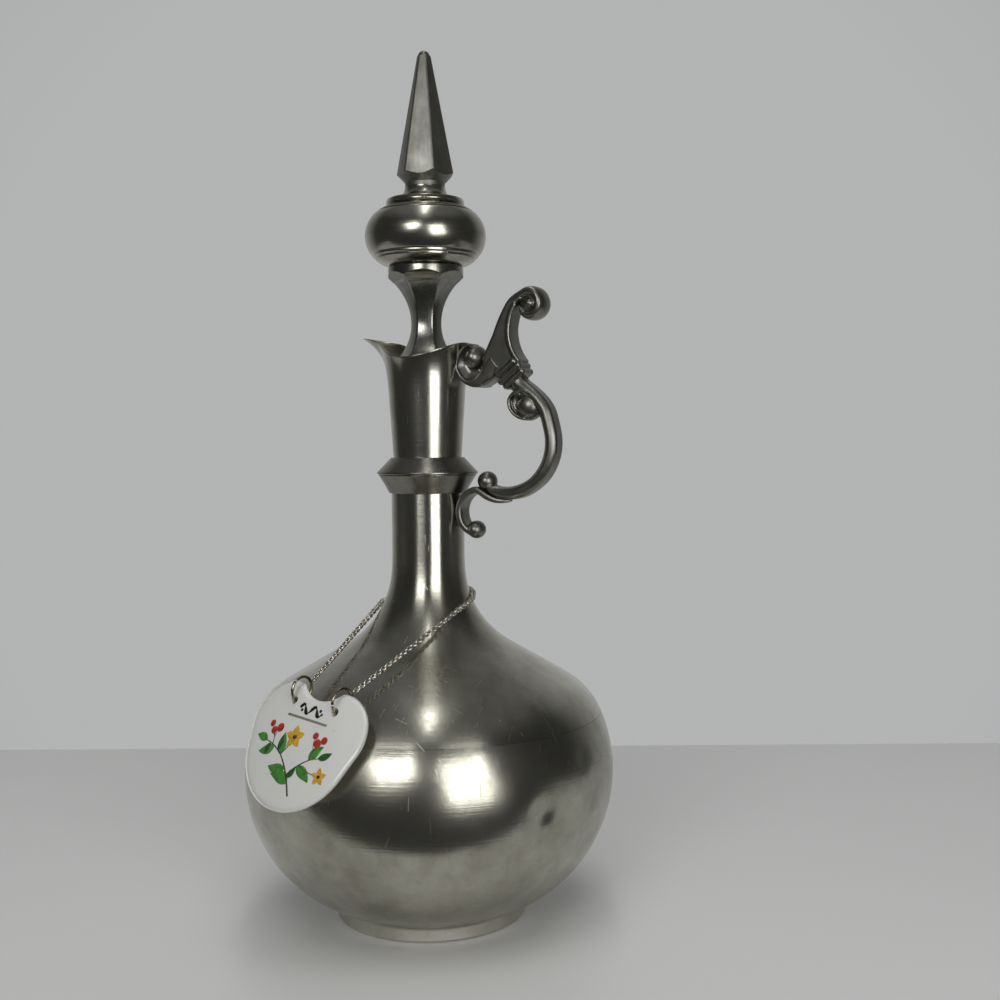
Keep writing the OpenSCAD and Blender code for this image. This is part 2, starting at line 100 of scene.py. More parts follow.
# a value may be a colour code; Map Range takes 1 and 2 to 3 and 4, Mix goes from colour 6 to 7 by 0
def addNode(tree, kind, values=None, links=None, **settings):
    node = tree.nodes.new(kind)
    for key, value in settings.items():
        setattr(node, key, value)
    for key, value in (values or {}).items():
        node.inputs[key].default_value = hexColour(value) if isinstance(value, str) else value
    for key, source in (links or {}).items():
        tree.links.new(source, node.inputs[key])
    return node


def startMaterial(name):
    material = bpy.data.materials.new(name)
    material.use_nodes = True
    tree = material.node_tree
    where = addNode(tree, "ShaderNodeTexCoord").outputs["Object"]
    return material, tree, tree.nodes["Principled BSDF"].inputs, where


# lathe-turned pewter, rubbed bright: broad soft highlights, faint rings round the axis, bloom, hair scratches
spunSet = {"scratches": [((0.5, 0.9, 0.4), (1900, 70, 70), 0.735, 0.76),      # turn, scale, faintest, deepest
                         ((1.1, -0.4, 1.3), (70, 1700, 70), 0.745, 0.77)],
           "spots": "#85837A", "softer": 0.1, "scratchRough": 0.07, "mottleHeight": 0.8,
           "scratchHeight": -0.4}


def spunPewter(name, bright, dull, soft, brushed=0):
    material, tree, surface, where = startMaterial(name)
    cloud = addNode(tree, "ShaderNodeTexNoise", {"Scale": 48, "Detail": 5, "Roughness": 0.62},
                    {"Vector": where}).outputs[0]              # 20 mm bloom
    fleck = addNode(tree, "ShaderNodeTexNoise", {"Scale": 420, "Detail": 4, "Roughness": 0.7},
                    {"Vector": where}).outputs[0]              # 2.4 mm mottle
    ringSpace = addNode(tree, "ShaderNodeMapping", {"Scale": (16, 16, 1300)}, {"Vector": where}).outputs[0]
    rings = addNode(tree, "ShaderNodeTexNoise", {"Scale": 1, "Detail": 3, "Roughness": 0.6},
                    {"Vector": ringSpace}).outputs[0]     # turning marks are 0.1 mm, drawn 0.8 mm to show
    scratches = []
    for turn, scale, faintest, deepest in spunSet["scratches"]:     # 14 mm long, two ways
        space = addNode(tree, "ShaderNodeMapping", {"Rotation": turn, "Scale": scale},
                        {"Vector": where}).outputs[0]
        hair = addNode(tree, "ShaderNodeTexNoise", {"Scale": 1, "Detail": 1}, {"Vector": space}).outputs[0]
        scratch = addNode(tree, "ShaderNodeMapRange", {1: faintest, 2: deepest, 3: 0, 4: 1}, {0: hair})
        scratches.append(scratch.outputs[0])
    hairs = addNode(tree, "ShaderNodeMath", None, {0: scratches[0], 1: scratches[1]},
                    operation="MAXIMUM").outputs[0]
    bloom = addNode(tree, "ShaderNodeMapRange", {1: 0.36, 2: 0.68, 3: 0, 4: 1}, {0: cloud}).outputs[0]
    tone = addNode(tree, "ShaderNodeMix", {6: bright, 7: dull}, {0: bloom}, data_type="RGBA").outputs[2]
    spots = addNode(tree, "ShaderNodeMapRange", {1: 0.6, 2: 0.74, 3: 0, 4: 0.35}, {0: fleck}).outputs[0]
    tone = addNode(tree, "ShaderNodeMix", {7: spunSet["spots"]}, {0: spots, 6: tone},
                   data_type="RGBA").outputs[2]
    tree.links.new(tone, surface["Base Color"])
    rough = addNode(tree, "ShaderNodeMapRange", {1: 0.3, 2: 0.7, 3: soft, 4: soft + spunSet["softer"]},
                    {0: cloud})
    rubbed = addNode(tree, "ShaderNodeMath", {1: spunSet["scratchRough"]}, {0: hairs, 2: rough.outputs[0]},
                     operation="MULTIPLY_ADD")
    tree.links.new(rubbed.outputs[0], surface["Roughness"])
    grain = addNode(tree, "ShaderNodeMath", {1: spunSet["mottleHeight"]}, {0: fleck, 2: rings},
                    operation="MULTIPLY_ADD")
    relief = addNode(tree, "ShaderNodeMath", {1: spunSet["scratchHeight"]}, {0: hairs, 2: grain.outputs[0]},
                     operation="MULTIPLY_ADD")
    bump = addNode(tree, "ShaderNodeBump", {"Strength": 0.6, "Distance": 0.05 * mm},
                   {"Height": relief.outputs[0]})
    tree.links.new(bump.outputs[0], surface["Normal"])
    surface["Metallic"].default_value = 1
    surface["Anisotropic"].default_value = brushed
    surface["Anisotropic Rotation"].default_value = 0.25       # across the turning marks
    return material


# sand-cast pewter left to darken: grey in the hollows, paler on rubbed edges, finely pitted; or file marks
castSet = {"tones": ("#92918A", "#76756D"), "filed": "#B4B2A8", "edge": "#93928A", "crevice": "#4A4943",
           "softer": 0.14}


def castPewter(name, soft, filing=0):
    material, tree, surface, where = startMaterial(name)
    cloud = addNode(tree, "ShaderNodeTexNoise", {"Scale": 130, "Detail": 5, "Roughness": 0.6},
                    {"Vector": where}).outputs[0]              # 8 mm patches
    pits = addNode(tree, "ShaderNodeTexNoise", {"Scale": 900, "Detail": 3, "Roughness": 0.6},
                   {"Vector": where}).outputs[0]               # sand grit is 0.2 mm, drawn 1.1 mm to show
    first, second = castSet["tones"]
    tone = addNode(tree, "ShaderNodeMix", {6: first, 7: second}, {0: cloud}, data_type="RGBA").outputs[2]
    if filing:
        fileSpace = addNode(tree, "ShaderNodeMapping", {"Scale": (700, 700, 70)},
                            {"Vector": where}).outputs[0]
        marks = addNode(tree, "ShaderNodeTexNoise", {"Scale": 1, "Detail": 4, "Roughness": 0.65},
                        {"Vector": fileSpace}).outputs[0]      # 1.4 mm wide, along the faces
        shade = addNode(tree, "ShaderNodeMapRange", {1: 0.4, 2: 0.66, 3: 0, 4: filing}, {0: marks}).outputs[0]
        layers = [(castSet["filed"], shade)]
    else:
        bent = addNode(tree, "ShaderNodeNewGeometry").outputs["Pointiness"]
        edge = addNode(tree, "ShaderNodeMapRange", {1: 0.5, 2: 0.6, 3: 0, 4: 1}, {0: bent}).outputs[0]
        crevice = addNode(tree, "ShaderNodeMapRange", {1: 0.42, 2: 0.49, 3: 1, 4: 0}, {0: bent}).outputs[0]
        layers = [(castSet["edge"], edge), (castSet["crevice"], crevice)]
    for colour, share in layers:
        tone = addNode(tree, "ShaderNodeMix", {7: colour}, {0: share, 6: tone}, data_type="RGBA").outputs[2]
    tree.links.new(tone, surface["Base Color"])
    rough = addNode(tree, "ShaderNodeMapRange", {1: 0.3, 2: 0.7, 3: soft, 4: soft + castSet["softer"]},
                    {0: cloud})
    tree.links.new(rough.outputs[0], surface["Roughness"])
    bump = addNode(tree, "ShaderNodeBump", {"Strength": 0.3, "Distance": 0.06 * mm}, {"Height": pits})
    tree.links.new(bump.outputs[0], surface["Normal"])
    surface["Metallic"].default_value = 1
    return material


# drawn brass wire, nickelled or bare: bright and smooth, duller where it has worn
def wireMetal(name, bright, dull):
    material, tree, surface, where = startMaterial(name)
    wear = addNode(tree, "ShaderNodeTexNoise", {"Scale": 260, "Detail": 3},
                   {"Vector": where}).outputs[0]               # 4 mm worn patches
    shift = addNode(tree, "ShaderNodeMapRange", {1: 0.38, 2: 0.64, 3: 0, 4: 1}, {0: wear}).outputs[0]
    tone = addNode(tree, "ShaderNodeMix", {6: bright, 7: dull}, {0: shift}, data_type="RGBA")
    tree.links.new(tone.outputs[2], surface["Base Color"])
    rough = addNode(tree, "ShaderNodeMapRange", {1: 0.3, 2: 0.7, 3: 0.08, 4: 0.2}, {0: wear})
    tree.links.new(rough.outputs[0], surface["Roughness"])
    surface["Metallic"].default_value = 1
    return material


# slip-cast porcelain under a clear glaze: cool white, wet gloss, a faint ripple and a few iron specks
def glazedPorcelain():
    material, tree, surface, where = startMaterial("porcelain_glazed")
    milk = addNode(tree, "ShaderNodeTexNoise", {"Scale": 90, "Detail": 3},
                   {"Vector": where}).outputs[0]               # 11 mm clouding
    tone = addNode(tree, "ShaderNodeMix", {6: "#D8D8D4", 7: "#CDCDC8"}, {0: milk},
                   data_type="RGBA").outputs[2]
    cells = addNode(tree, "ShaderNodeTexVoronoi", {"Scale": 190}, {"Vector": where})      # one cell in 5 mm
    specks = addNode(tree, "ShaderNodeMapRange", {1: 0.05, 2: 0.085, 3: 0.45, 4: 0},
                     {0: cells.outputs["Distance"]}).outputs[0]
    tone = addNode(tree, "ShaderNodeMix", {7: "#A8A59B"}, {0: specks, 6: tone}, data_type="RGBA").outputs[2]
    tree.links.new(tone, surface["Base Color"])
    gloss = addNode(tree, "ShaderNodeMapRange", {1: 0.3, 2: 0.7, 3: 0.06, 4: 0.12}, {0: milk})
    tree.links.new(gloss.outputs[0], surface["Roughness"])
    ripple = addNode(tree, "ShaderNodeBump", {"Strength": 0.2, "Distance": 0.1 * mm}, {"Height": milk})
    tree.links.new(ripple.outputs[0], surface["Normal"])
    return material


# enamel transfer fired on the glaze: flat colour, thin in places, nearly as glossy as the glaze
def firedEnamel(name, colour, thin):
    material, tree, surface, where = startMaterial("enamel_" + name)
    wash = addNode(tree, "ShaderNodeTexNoise", {"Scale": 520, "Detail": 4},
                   {"Vector": where}).outputs[0]               # 2 mm thin patches
    shift = addNode(tree, "ShaderNodeMapRange", {1: 0.35, 2: 0.7, 3: 0, 4: 1}, {0: wash}).outputs[0]
    tone = addNode(tree, "ShaderNodeMix", {6: colour, 7: thin}, {0: shift}, data_type="RGBA")
    tree.links.new(tone.outputs[2], surface["Base Color"])
    gloss = addNode(tree, "ShaderNodeMapRange", {1: 0.3, 2: 0.7, 3: 0.12, 4: 0.25}, {0: wash})
    tree.links.new(gloss.outputs[0], surface["Roughness"])
    return material


# punched natural cork: warm tan, dark lenticels, dry and rough
def punchedCork():
    material, tree, surface, where = startMaterial("cork_punched")
    grain = addNode(tree, "ShaderNodeTexNoise", {"Scale": 500, "Detail": 5, "Roughness": 0.65},
                    {"Vector": where}).outputs[0]              # 2 mm cells
    poreSpace = addNode(tree, "ShaderNodeMapping", {"Scale": (420, 420, 150)}, {"Vector": where}).outputs[0]
    pores = addNode(tree, "ShaderNodeTexVoronoi", {"Scale": 1}, {"Vector": poreSpace})    # lenticels, 2.5 mm
    dark = addNode(tree, "ShaderNodeMapRange", {1: 0.08, 2: 0.3, 3: 0.85, 4: 0},
                   {0: pores.outputs["Distance"]}).outputs[0]
    tone = addNode(tree, "ShaderNodeMix", {6: "#C79E6E", 7: "#A97F50"}, {0: grain},
                   data_type="RGBA").outputs[2]
    tone = addNode(tree, "ShaderNodeMix", {7: "#6A4A2C"}, {0: dark, 6: tone}, data_type="RGBA").outputs[2]
    tree.links.new(tone, surface["Base Color"])
    surface["Roughness"].default_value = 0.8
    bump = addNode(tree, "ShaderNodeBump", {"Strength": 0.5, "Distance": 0.3 * mm}, {"Height": grain})
    tree.links.new(bump.outputs[0], surface["Normal"])
    return material


spun = spunPewter("pewter_spun_rubbed", "#BBB9AD", "#979588", 0.17)
brushed = spunPewter("pewter_spun_brushed", "#BBB9AD", "#979588", 0.19, 0.8)   # the shoulder, off the wheel
wornAndLit = spunPewter("pewter_spun_worn_painted_light", "#D3D1C7", "#C3C1B6", 0.4)               # the foot, rubbed pale, and paler still as a painted reflection of the lit floor
shaded = spunPewter("pewter_spun_painted_shade", "#8A887F", "#706E66", 0.24)       # the collar, darkened as painted shade
cast = castPewter("pewter_cast_darkened", 0.28)
filed = castPewter("pewter_cast_filed", 0.18, 0.42)
dulledAndShaded = castPewter("pewter_cast_dulled_painted_shade", 0.38, 0.22)                          # the spire, rougher from handling, its colour darkened as painted shade
chainWire = wireMetal("brass_wire_nickelled", "#E4E1D8", "#C0BAA9")
ringWire = wireMetal("brass_wire_bare", "#B2A98E", "#857D68")
porcelain = glazedPorcelain()
corkSkin = punchedCork()
print("materials made")


# a finished piece: material, body and the CAD node it stands for; slotName is not used
def settle(piece, body, slotName, material, *nodes):
    piece.data.materials.clear()
    piece.data.materials.append(material)
    piece.data.name = piece.name
    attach(piece, body)
    if nodes:
        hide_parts(*nodes)


def makeActive(piece):
    bpy.ops.object.select_all(action="DESELECT")
    piece.select_set(True)
    bpy.context.view_layer.objects.active = piece


def startPiece(name, addPrimitive, **settings):
    bpy.ops.object.select_all(action="DESELECT")
    addPrimitive(**settings)
    piece = bpy.context.object
    piece.name = name
    return piece


def meshPiece(name, work):
    mesh = bpy.data.meshes.new(name)
    work.to_mesh(mesh)
    work.free()
    piece = bpy.data.objects.new(name, mesh)
    scene.collection.objects.link(piece)
    return piece


def joinPieces(name, pieces):
    makeActive(pieces[0])
    for piece in pieces:
        piece.select_set(True)
    bpy.ops.object.join()
    pieces[0].name = name
    return pieces[0]


def applyModifier(piece, kind, **settings):
    makeActive(piece)
    modifier = piece.modifiers.new(kind.lower(), kind)
    for key, value in settings.items():
        setattr(modifier, key, value)
    bpy.ops.object.modifier_apply(modifier=modifier.name)


def smoothBy(piece, angle):
    makeActive(piece)
    bpy.ops.object.shade_smooth_by_angle(angle=math.radians(angle))


def smoothAll(piece):
    makeActive(piece)
    bpy.ops.object.shade_smooth()


# edit mode is left with the normals facing out
def leaveEdit():
    bpy.ops.mesh.select_all(action="SELECT")
    bpy.ops.mesh.normals_make_consistent(inside=False)
    bpy.ops.object.mode_set(mode="OBJECT")


# a line drawn point by point: a plane merged to one vertex that is then extruded; edit mode stays on
def drawLine(name, spots):
    piece = startPiece(name, bpy.ops.mesh.primitive_plane_add, size=mm)
    bpy.ops.object.mode_set(mode="EDIT")
    bpy.ops.mesh.merge(type="CENTER")
    bpy.ops.transform.translate(value=spots[0])
    for here, there in zip(spots, spots[1:]):
        bpy.ops.mesh.extrude_vertices_move(TRANSFORM_OT_translate={"value": there - here})
    bpy.ops.mesh.select_all(action="SELECT")
    return piece


def polar(centre, reach, turn):
    lean = math.radians(turn)
    return centre[0] + reach * math.cos(lean), centre[1] + reach * math.sin(lean)


# points of an arc in the side view, in millimetres
def arcLine(centre, radius, fromTurn, toTurn, steps):
    return [polar(centre, radius, fromTurn + (toTurn - fromTurn) * i / steps) for i in range(steps + 1)]


# a side view whose corners (x, z, r) are rounded by r
def roundCorners(corners, steps=5):
    line = []
    for i, corner in enumerate(corners):
        here = Vector(corner[:2])
        if len(corner) < 3:
            line.append(tuple(here))
            continue
        back = (Vector(corners[i - 1][:2]) - here).normalized()
        on = (Vector(corners[(i + 1) % len(corners)][:2]) - here).normalized()
        half = back.angle(on) / 2
        middle = here + (back + on).normalized() * corner[2] / math.sin(half)
        first = here + back * corner[2] / math.tan(half) - middle
        last = here + on * corner[2] / math.tan(half) - middle
        start = math.atan2(first.y, first.x)
        turn = (math.atan2(last.y, last.x) - start + math.pi) % math.tau - math.pi
        line += arcLine(middle, corner[2], math.degrees(start), math.degrees(start + turn), steps)
    return line


# the side view is drawn and spun round the upright axis
def spinPiece(name, line, steps=128, smooth=32):
    piece = drawLine(name, [Vector((x, 0, z)) * mm for x, z in line + line[:1]])
    bpy.ops.mesh.spin(steps=steps, angle=math.tau, center=(0, 0, 0), axis=(0, 0, 1))
    bpy.ops.mesh.select_all(action="SELECT")
    bpy.ops.mesh.remove_doubles(threshold=tiny)
    leaveEdit()
    smoothBy(piece, smooth)
    return piece


# body: a belly bowl and a shoulder shell, spun and soldered at the seam
bodySet = {"belly": ((16.8, 57.6), 56), "shoulder": ((43.083, 69.856), 27), "cove": ((50.4, 138.378), 36),
           "baseTurn": -76.37, "seamTurn": 24, "seamGap": 0.05, "flankTurn": 25, "slopeTurn": 60,
           "neckRadius": 14.4, "neckRows": (144, 150, 156, 162, 168, 174.96), "wall": 2,
           "rowStep": 1, "easeTurns": 38, "easeRows": 28,
           "wave": 0.12, "waveSize": 28, "trueInside": 20,
           "dents": [(-26, 54.5, 8.5, 0.8), (-26, 56, 18, 0.45), (-8, 70, 9, 0.25), (-70, 84, 12, 0.25),
                     (-50, 40, 10, 0.25), (150, 60, 12, 0.4), (80, 48, 9, 0.3)]}  # turn, height, reach, depth


def bowlWall(inset, rows):
    centre, radius = bodySet["belly"]
    seam = bodySet["seamTurn"] - bodySet["seamGap"]
    return arcLine(centre, radius - inset, bodySet["baseTurn"], seam, rows)


def shoulderWall(inset):
    belly, shoulder, cove = bodySet["belly"], bodySet["shoulder"], bodySet["cove"]
    seam, flank, slope = bodySet["seamTurn"] + bodySet["seamGap"], bodySet["flankTurn"], bodySet["slopeTurn"]
    return (arcLine(belly[0], belly[1] - inset, seam, flank, 2)[:-1]
            + arcLine(shoulder[0], shoulder[1] - inset, flank, slope, 22)
            + arcLine(cove[0], cove[1] + inset, 180 + slope, 180, 36)
            + [(bodySet["neckRadius"] - inset, z) for z in bodySet["neckRows"]])


# rows added along straight runs, then the curve eased, but for the seam end, which keeps its line
def easedLine(line):
    spots = []
    for here, there in zip(line, line[1:]):
        count = max(1, round(math.dist(here, there) / bodySet["rowStep"]))
        spots += [Vector(here).lerp(Vector(there), k / count) for k in range(count)]
    spots.append(Vector(line[-1]))
    eased = spots
    for turn in range(bodySet["easeTurns"]):
        middle = [(a + 2 * b + c) / 4 for a, b, c in zip(eased, eased[1:], eased[2:])]
        eased = eased[:1] + middle + eased[-1:]
    shares = [min(1, i / bodySet["easeRows"]) for i in range(len(spots))]
    shares = [share ** 2 * (3 - 2 * share) for share in shares]
    return [tuple(spot.lerp(soft, share)) for spot, soft, share in zip(spots, eased, shares)]


# hand-worked metal is never quite true: a slow ripple and a few shallow dents
def handWork(piece):
    for vertex in piece.data.vertices:
        spot = vertex.co / mm
        out = Vector((spot.x, spot.y, 0))
        if out.length < bodySet["trueInside"]:
            continue
        push = bodySet["wave"] * noise.noise(spot / bodySet["waveSize"])
        for turn, height, reach, depth in bodySet["dents"]:
            if abs(spot.z - height) > reach:
                continue
            away = (spot - Vector((*polar((0, 0), out.length, turn), height))).length
            if away < reach:
                push -= depth * (0.5 + 0.5 * math.cos(math.pi * away / reach)) ** 1.5
        vertex.co += out.normalized() * push * mm


bellyBowl = spinPiece("bellyBowl", bowlWall(0, 110) + bowlWall(bodySet["wall"], 24)[::-1], 360)
handWork(bellyBowl)
shoulderLine = easedLine(shoulderWall(0)) + shoulderWall(bodySet["wall"])[::-1]
shoulderShell = spinPiece("shoulderShell", shoulderLine, 180)
handWork(shoulderShell)
settle(bellyBowl, "decanter", "spun_pewter", spun, "belly_bowl")
settle(shoulderShell, "decanter", "spun_pewter", brushed, "shoulder_shell")
print("body spun")

# foot ring with a soldered fillet under the belly
footSet = {"inner": 34.6, "outer": 37.3, "fillet": [(37.25, 4.3), (37.4, 4.9), (37.75, 5.4), (38.4, 5.86)],
           "under": (36.4, 5.05), "innerTop": 4.42}
footBand = [(footSet["inner"], 0, 0.4), (footSet["outer"], 0, 0.9)]
footTop = [footSet["under"], (footSet["inner"], footSet["innerTop"])]
footLine = roundCorners(footBand + footSet["fillet"] + footTop)
footRing = spinPiece("footRing", footLine)
settle(footRing, "decanter", "spun_pewter", wornAndLit, "foot_ring")

# neck collar: two cones meeting at a rubbed edge, a fine line cut just under it
collarSet = {"foot": 166.98, "top": 180.98, "footRadius": 15.3, "topRadius": 14.5, "bore": 14.45,
             "upperBore": 13.55, "neckEnd": 175.06, "under": [(16.6, 169.6), (18.9, 173.4)],
             "cutLine": [(19.35, 174.1, 0.12), (19.15, 174.25, 0.08), (19.7, 174.45, 0.12)],
             "edge": [(20, 174.8, 0.15), (20, 175.2, 0.2)], "over": [(17.4, 177.9), (14.9, 180.55, 0.4)]}
collarFoot = [(collarSet["bore"], collarSet["foot"]), (collarSet["footRadius"], collarSet["foot"], 0.35)]
collarTop = [(collarSet["topRadius"], collarSet["top"], 0.25), (collarSet["upperBore"], collarSet["top"]),
             (collarSet["upperBore"], collarSet["neckEnd"]), (collarSet["bore"], collarSet["neckEnd"])]
collarLine = roundCorners(collarFoot + collarSet["under"] + collarSet["cutLine"] + collarSet["edge"]
                          + collarSet["over"] + collarTop)
neckCollar = spinPiece("neckCollar", collarLine)
settle(neckCollar, "decanter", "spun_pewter", shaded, "neck_collar")

# mouth: a straight tube is spun, then its upper part is drawn out into the lip
mouthSet = {"foot": 175.16, "throatFoot": 180.98, "throatTop": 203.58, "footRadius": 13.5,
            "throatRadius": 14.95, "throatRows": 8, "sideHeight": 16.3, "tipHeight": 25.4, "backHeight": 22,
            "sideFlare": 2, "tipFlare": 12.4, "curve": 3.4, "sharp": 14, "wall": 1.5, "rimWall": 0.95,
            "rimRound": 0.45, "rows": 22, "tube": 20}
throatTall = mouthSet["throatTop"] - mouthSet["throatFoot"]
throatFlare = mouthSet["throatRadius"] - mouthSet["footRadius"]


def mouthLip(x, y, z):
    throat, side = mouthSet["throatTop"], mouthSet["sideHeight"]
    radius, turn = math.hypot(x, y), math.atan2(y, x)
    if z <= throat:
        return x, y, z
    share = (z - throat) / mouthSet["tube"]
    toTip, toBack = max(0, -math.cos(turn)), max(0, math.cos(turn))
    rim = side + (mouthSet["tipHeight"] - side) * toTip ** 2 + (mouthSet["backHeight"] - side) * toBack ** 2
    flare = mouthSet["sideFlare"]
    flare += (mouthSet["tipFlare"] - flare) * toTip ** mouthSet["sharp"]
    height = share * rim
    radius += throatFlare * height / throatTall + flare * share ** mouthSet["curve"]
    return radius * math.cos(turn), radius * math.sin(turn), throat + height


def mouthInside(x, z):
    share = max(0, (z - mouthSet["throatTop"]) / mouthSet["tube"])
    return x - mouthSet["wall"] + (mouthSet["wall"] - mouthSet["rimWall"]) * share, z


outerWall = [(mouthSet["footRadius"], mouthSet["foot"])]
for i in range(mouthSet["throatRows"] + 1):
    share = i / mouthSet["throatRows"]
    radius = mouthSet["footRadius"] + throatFlare * share
    outerWall.append((radius, mouthSet["throatFoot"] + throatTall * share))
for i in range(1, mouthSet["rows"]):
    height = mouthSet["tube"] * i / mouthSet["rows"]
    outerWall.append((mouthSet["throatRadius"], mouthSet["throatTop"] + height))
innerWall = [mouthInside(x, z) for x, z in outerWall]
rimRound = mouthSet["rimRound"]
rimCentre = (mouthSet["throatRadius"] - rimRound, mouthSet["throatTop"] + mouthSet["tube"] - rimRound)
mouthLine = outerWall + arcLine(rimCentre, rimRound, 0, 180, 8) + innerWall[::-1]
mouthSpout = spinPiece("mouthSpout", mouthLine, 144, 40)
for vertex in mouthSpout.data.vertices:
    vertex.co = Vector(mouthLip(*(vertex.co / mm))) * mm
settle(mouthSpout, "decanter", "spun_pewter", spun, "mouth_spout")
print("foot, collar and mouth spun")


# direction of a line at one of its points
def lineAlong(line, i):
    before, after = line[max(i - 1, 0)], line[min(i + 1, len(line) - 1)]
    return Vector((after[0] - before[0], after[1] - before[1])).normalized()


# a section swept along the handle's plane: spots are (x, z, width, thickness), the section is in halves
def sweepSection(name, spots, section):
    work = bmesh.new()
    loops = []
    for i, (x, z, wide, thick) in enumerate(spots):
        along = lineAlong(spots, i)
        loops.append([work.verts.new(((x - along.y * t * thick / 2) * mm, s * wide / 2 * mm,
                                      (z + along.x * t * thick / 2) * mm)) for s, t in section])
    for first, second in zip(loops, loops[1:]):
        for k in range(len(section)):
            j = (k + 1) % len(section)
            work.faces.new((first[k], first[j], second[j], second[k]))
    work.faces.new(loops[0][::-1])
    work.faces.new(loops[-1])
    bmesh.ops.recalc_face_normals(work, faces=work.faces)
    return meshPiece(name, work)


# evenly spaced spots on a smooth curve through given ones
def smoothSpots(picked, step=0.45):
    spots = []
    for i in range(len(picked) - 1):
        p0, p1, p2, p3 = (Vector(picked[min(max(k, 0), len(picked) - 1)]) for k in (i - 1, i, i + 1, i + 2))
        count = max(2, round((p2 - p1).length / step))
        for k in range(count):
            t = k / count
            spots.append(0.5 * (2 * p1 + (p2 - p0) * t + (2 * p0 - 5 * p1 + 4 * p2 - p3) * t ** 2
                                + (3 * p1 - p0 - 3 * p2 + p3) * t ** 3))
    return [tuple(s) for s in spots] + [tuple(picked[-1])]


# a superellipse: power 2 is round, higher powers are squarer
def roundedSection(power, count=28):
    def eased(value):
        return math.copysign(abs(value) ** (2 / power), value)
    turns = [math.tau * i / count for i in range(count)]
    return [(eased(math.cos(t)), eased(math.sin(t))) for t in turns]


# a ball of the casting, squashed in edit mode
def castBall(name, centre, radius, across, tall=1):
    ball = startPiece(name, bpy.ops.mesh.primitive_uv_sphere_add, segments=40, ring_count=24,
                      radius=radius * mm)
    bpy.ops.object.mode_set(mode="EDIT")
    bpy.ops.transform.resize(value=(1, across / radius, tall), center_override=(0, 0, 0))
    bpy.ops.transform.translate(value=(centre[0] * mm, 0, centre[1] * mm))
    bpy.ops.object.mode_set(mode="OBJECT")
    return ball


# an outline in the handle's plane, filled and given its width
def castPlate(name, line, width):
    piece = drawLine(name, [Vector((x, -width / 2, z)) * mm for x, z in line])
    bpy.ops.mesh.edge_face_add()
    bpy.ops.mesh.extrude_region_move(TRANSFORM_OT_translate={"value": (0, width * mm, 0)})
    leaveEdit()
    return piece


# parts of one casting run together, with soft inside corners as poured metal has
def pourTogether(name, parts, voxel=0.24, passes=4):
    piece = joinPieces(name, parts)
    applyModifier(piece, "REMESH", mode="VOXEL", voxel_size=voxel * mm)
    applyModifier(piece, "SMOOTH", factor=0.5, iterations=passes)
    smoothAll(piece)
    return piece


# centre line of a strip that lies inside an edge, the edge given with its thickness
def insideEdge(edge, width):
    spots = []
    for i, (x, z, thick) in enumerate(edge):
        along = lineAlong(edge, i)
        spots.append((x + along.y * thick / 2, z - along.x * thick / 2, width, thick))
    return spots


def flipThickness(spots):
    return [(*spot[:-1], -spot[-1]) for spot in spots]


stripSection = roundedSection(4.5)

# volute at the mouth: a thin rim round a dish that falls to an oval eye, its tail running up under the lever
voluteSet = {"width": 8.8, "dishWidth": 8.5, "eye": (22.4, 219.5), "eyeSize": (4.1, 6.2, 1.15), "web": 2.8,
             "rim": [(34.4, 214.9, 6.4), (32.6, 213.2, 6.6), (31.2, 211, 6.6), (29.8, 209.6, 6.4),
                     (26.7, 208.2, 5.4), (23.3, 207.9, 3.8), (19.8, 209, 2.2), (17.1, 211.2, 1.5),
                     (14.9, 215.2, 1.3), (14.9, 217.9, 1.3), (15.8, 220.3, 1.3), (17.2, 222.4, 1.3),
                     (18.9, 224, 1.2), (21.2, 225, 1)],
             "dishStart": 4, "dishDepths": [6.4, 6.2, 5.8, 5.2, 4.8, 4.6, 4.4, 4, 3.4],
             "lip": 0.66, "floor": 0.32, "sideSteps": 8}
rimLine = insideEdge(voluteSet["rim"], voluteSet["width"])
rolledStrip = sweepSection("rolledStrip", smoothSpots(rimLine), stripSection)
dishRim = voluteSet["rim"][voluteSet["dishStart"]:]
dishEdge = [(*spot[:2], depth) for spot, depth in zip(dishRim, voluteSet["dishDepths"])]
dishLine = insideEdge(dishEdge, voluteSet["dishWidth"])
floorHalf, lipSpan = voluteSet["floor"], 1 + voluteSet["lip"]
dishSide = []
for k in range(voluteSet["sideSteps"] + 1):
    share = k / voluteSet["sideSteps"]
    dishSide.append((floorHalf + (1 - floorHalf) * share ** 2, lipSpan * share - 1))
dishBack = [(across, 1) for across in (-1, -0.5, 0, 0.5, 1)]
dishSection = dishBack + dishSide[::-1] + [(-across, out) for across, out in dishSide]
dishRing = sweepSection("dishRing", smoothSpots(dishLine), dishSection)
eyeBall = castBall("eyeBall", voluteSet["eye"], *voluteSet["eyeSize"])
dishWeb = castPlate("dishWeb", [spot[:2] for spot in dishLine], voluteSet["web"])
mouthVolute = pourTogether("mouthVolute", [rolledStrip, dishRing, eyeBall, dishWeb])
settle(mouthVolute, "decanter", "cast_pewter", cast, "mouth_volute")

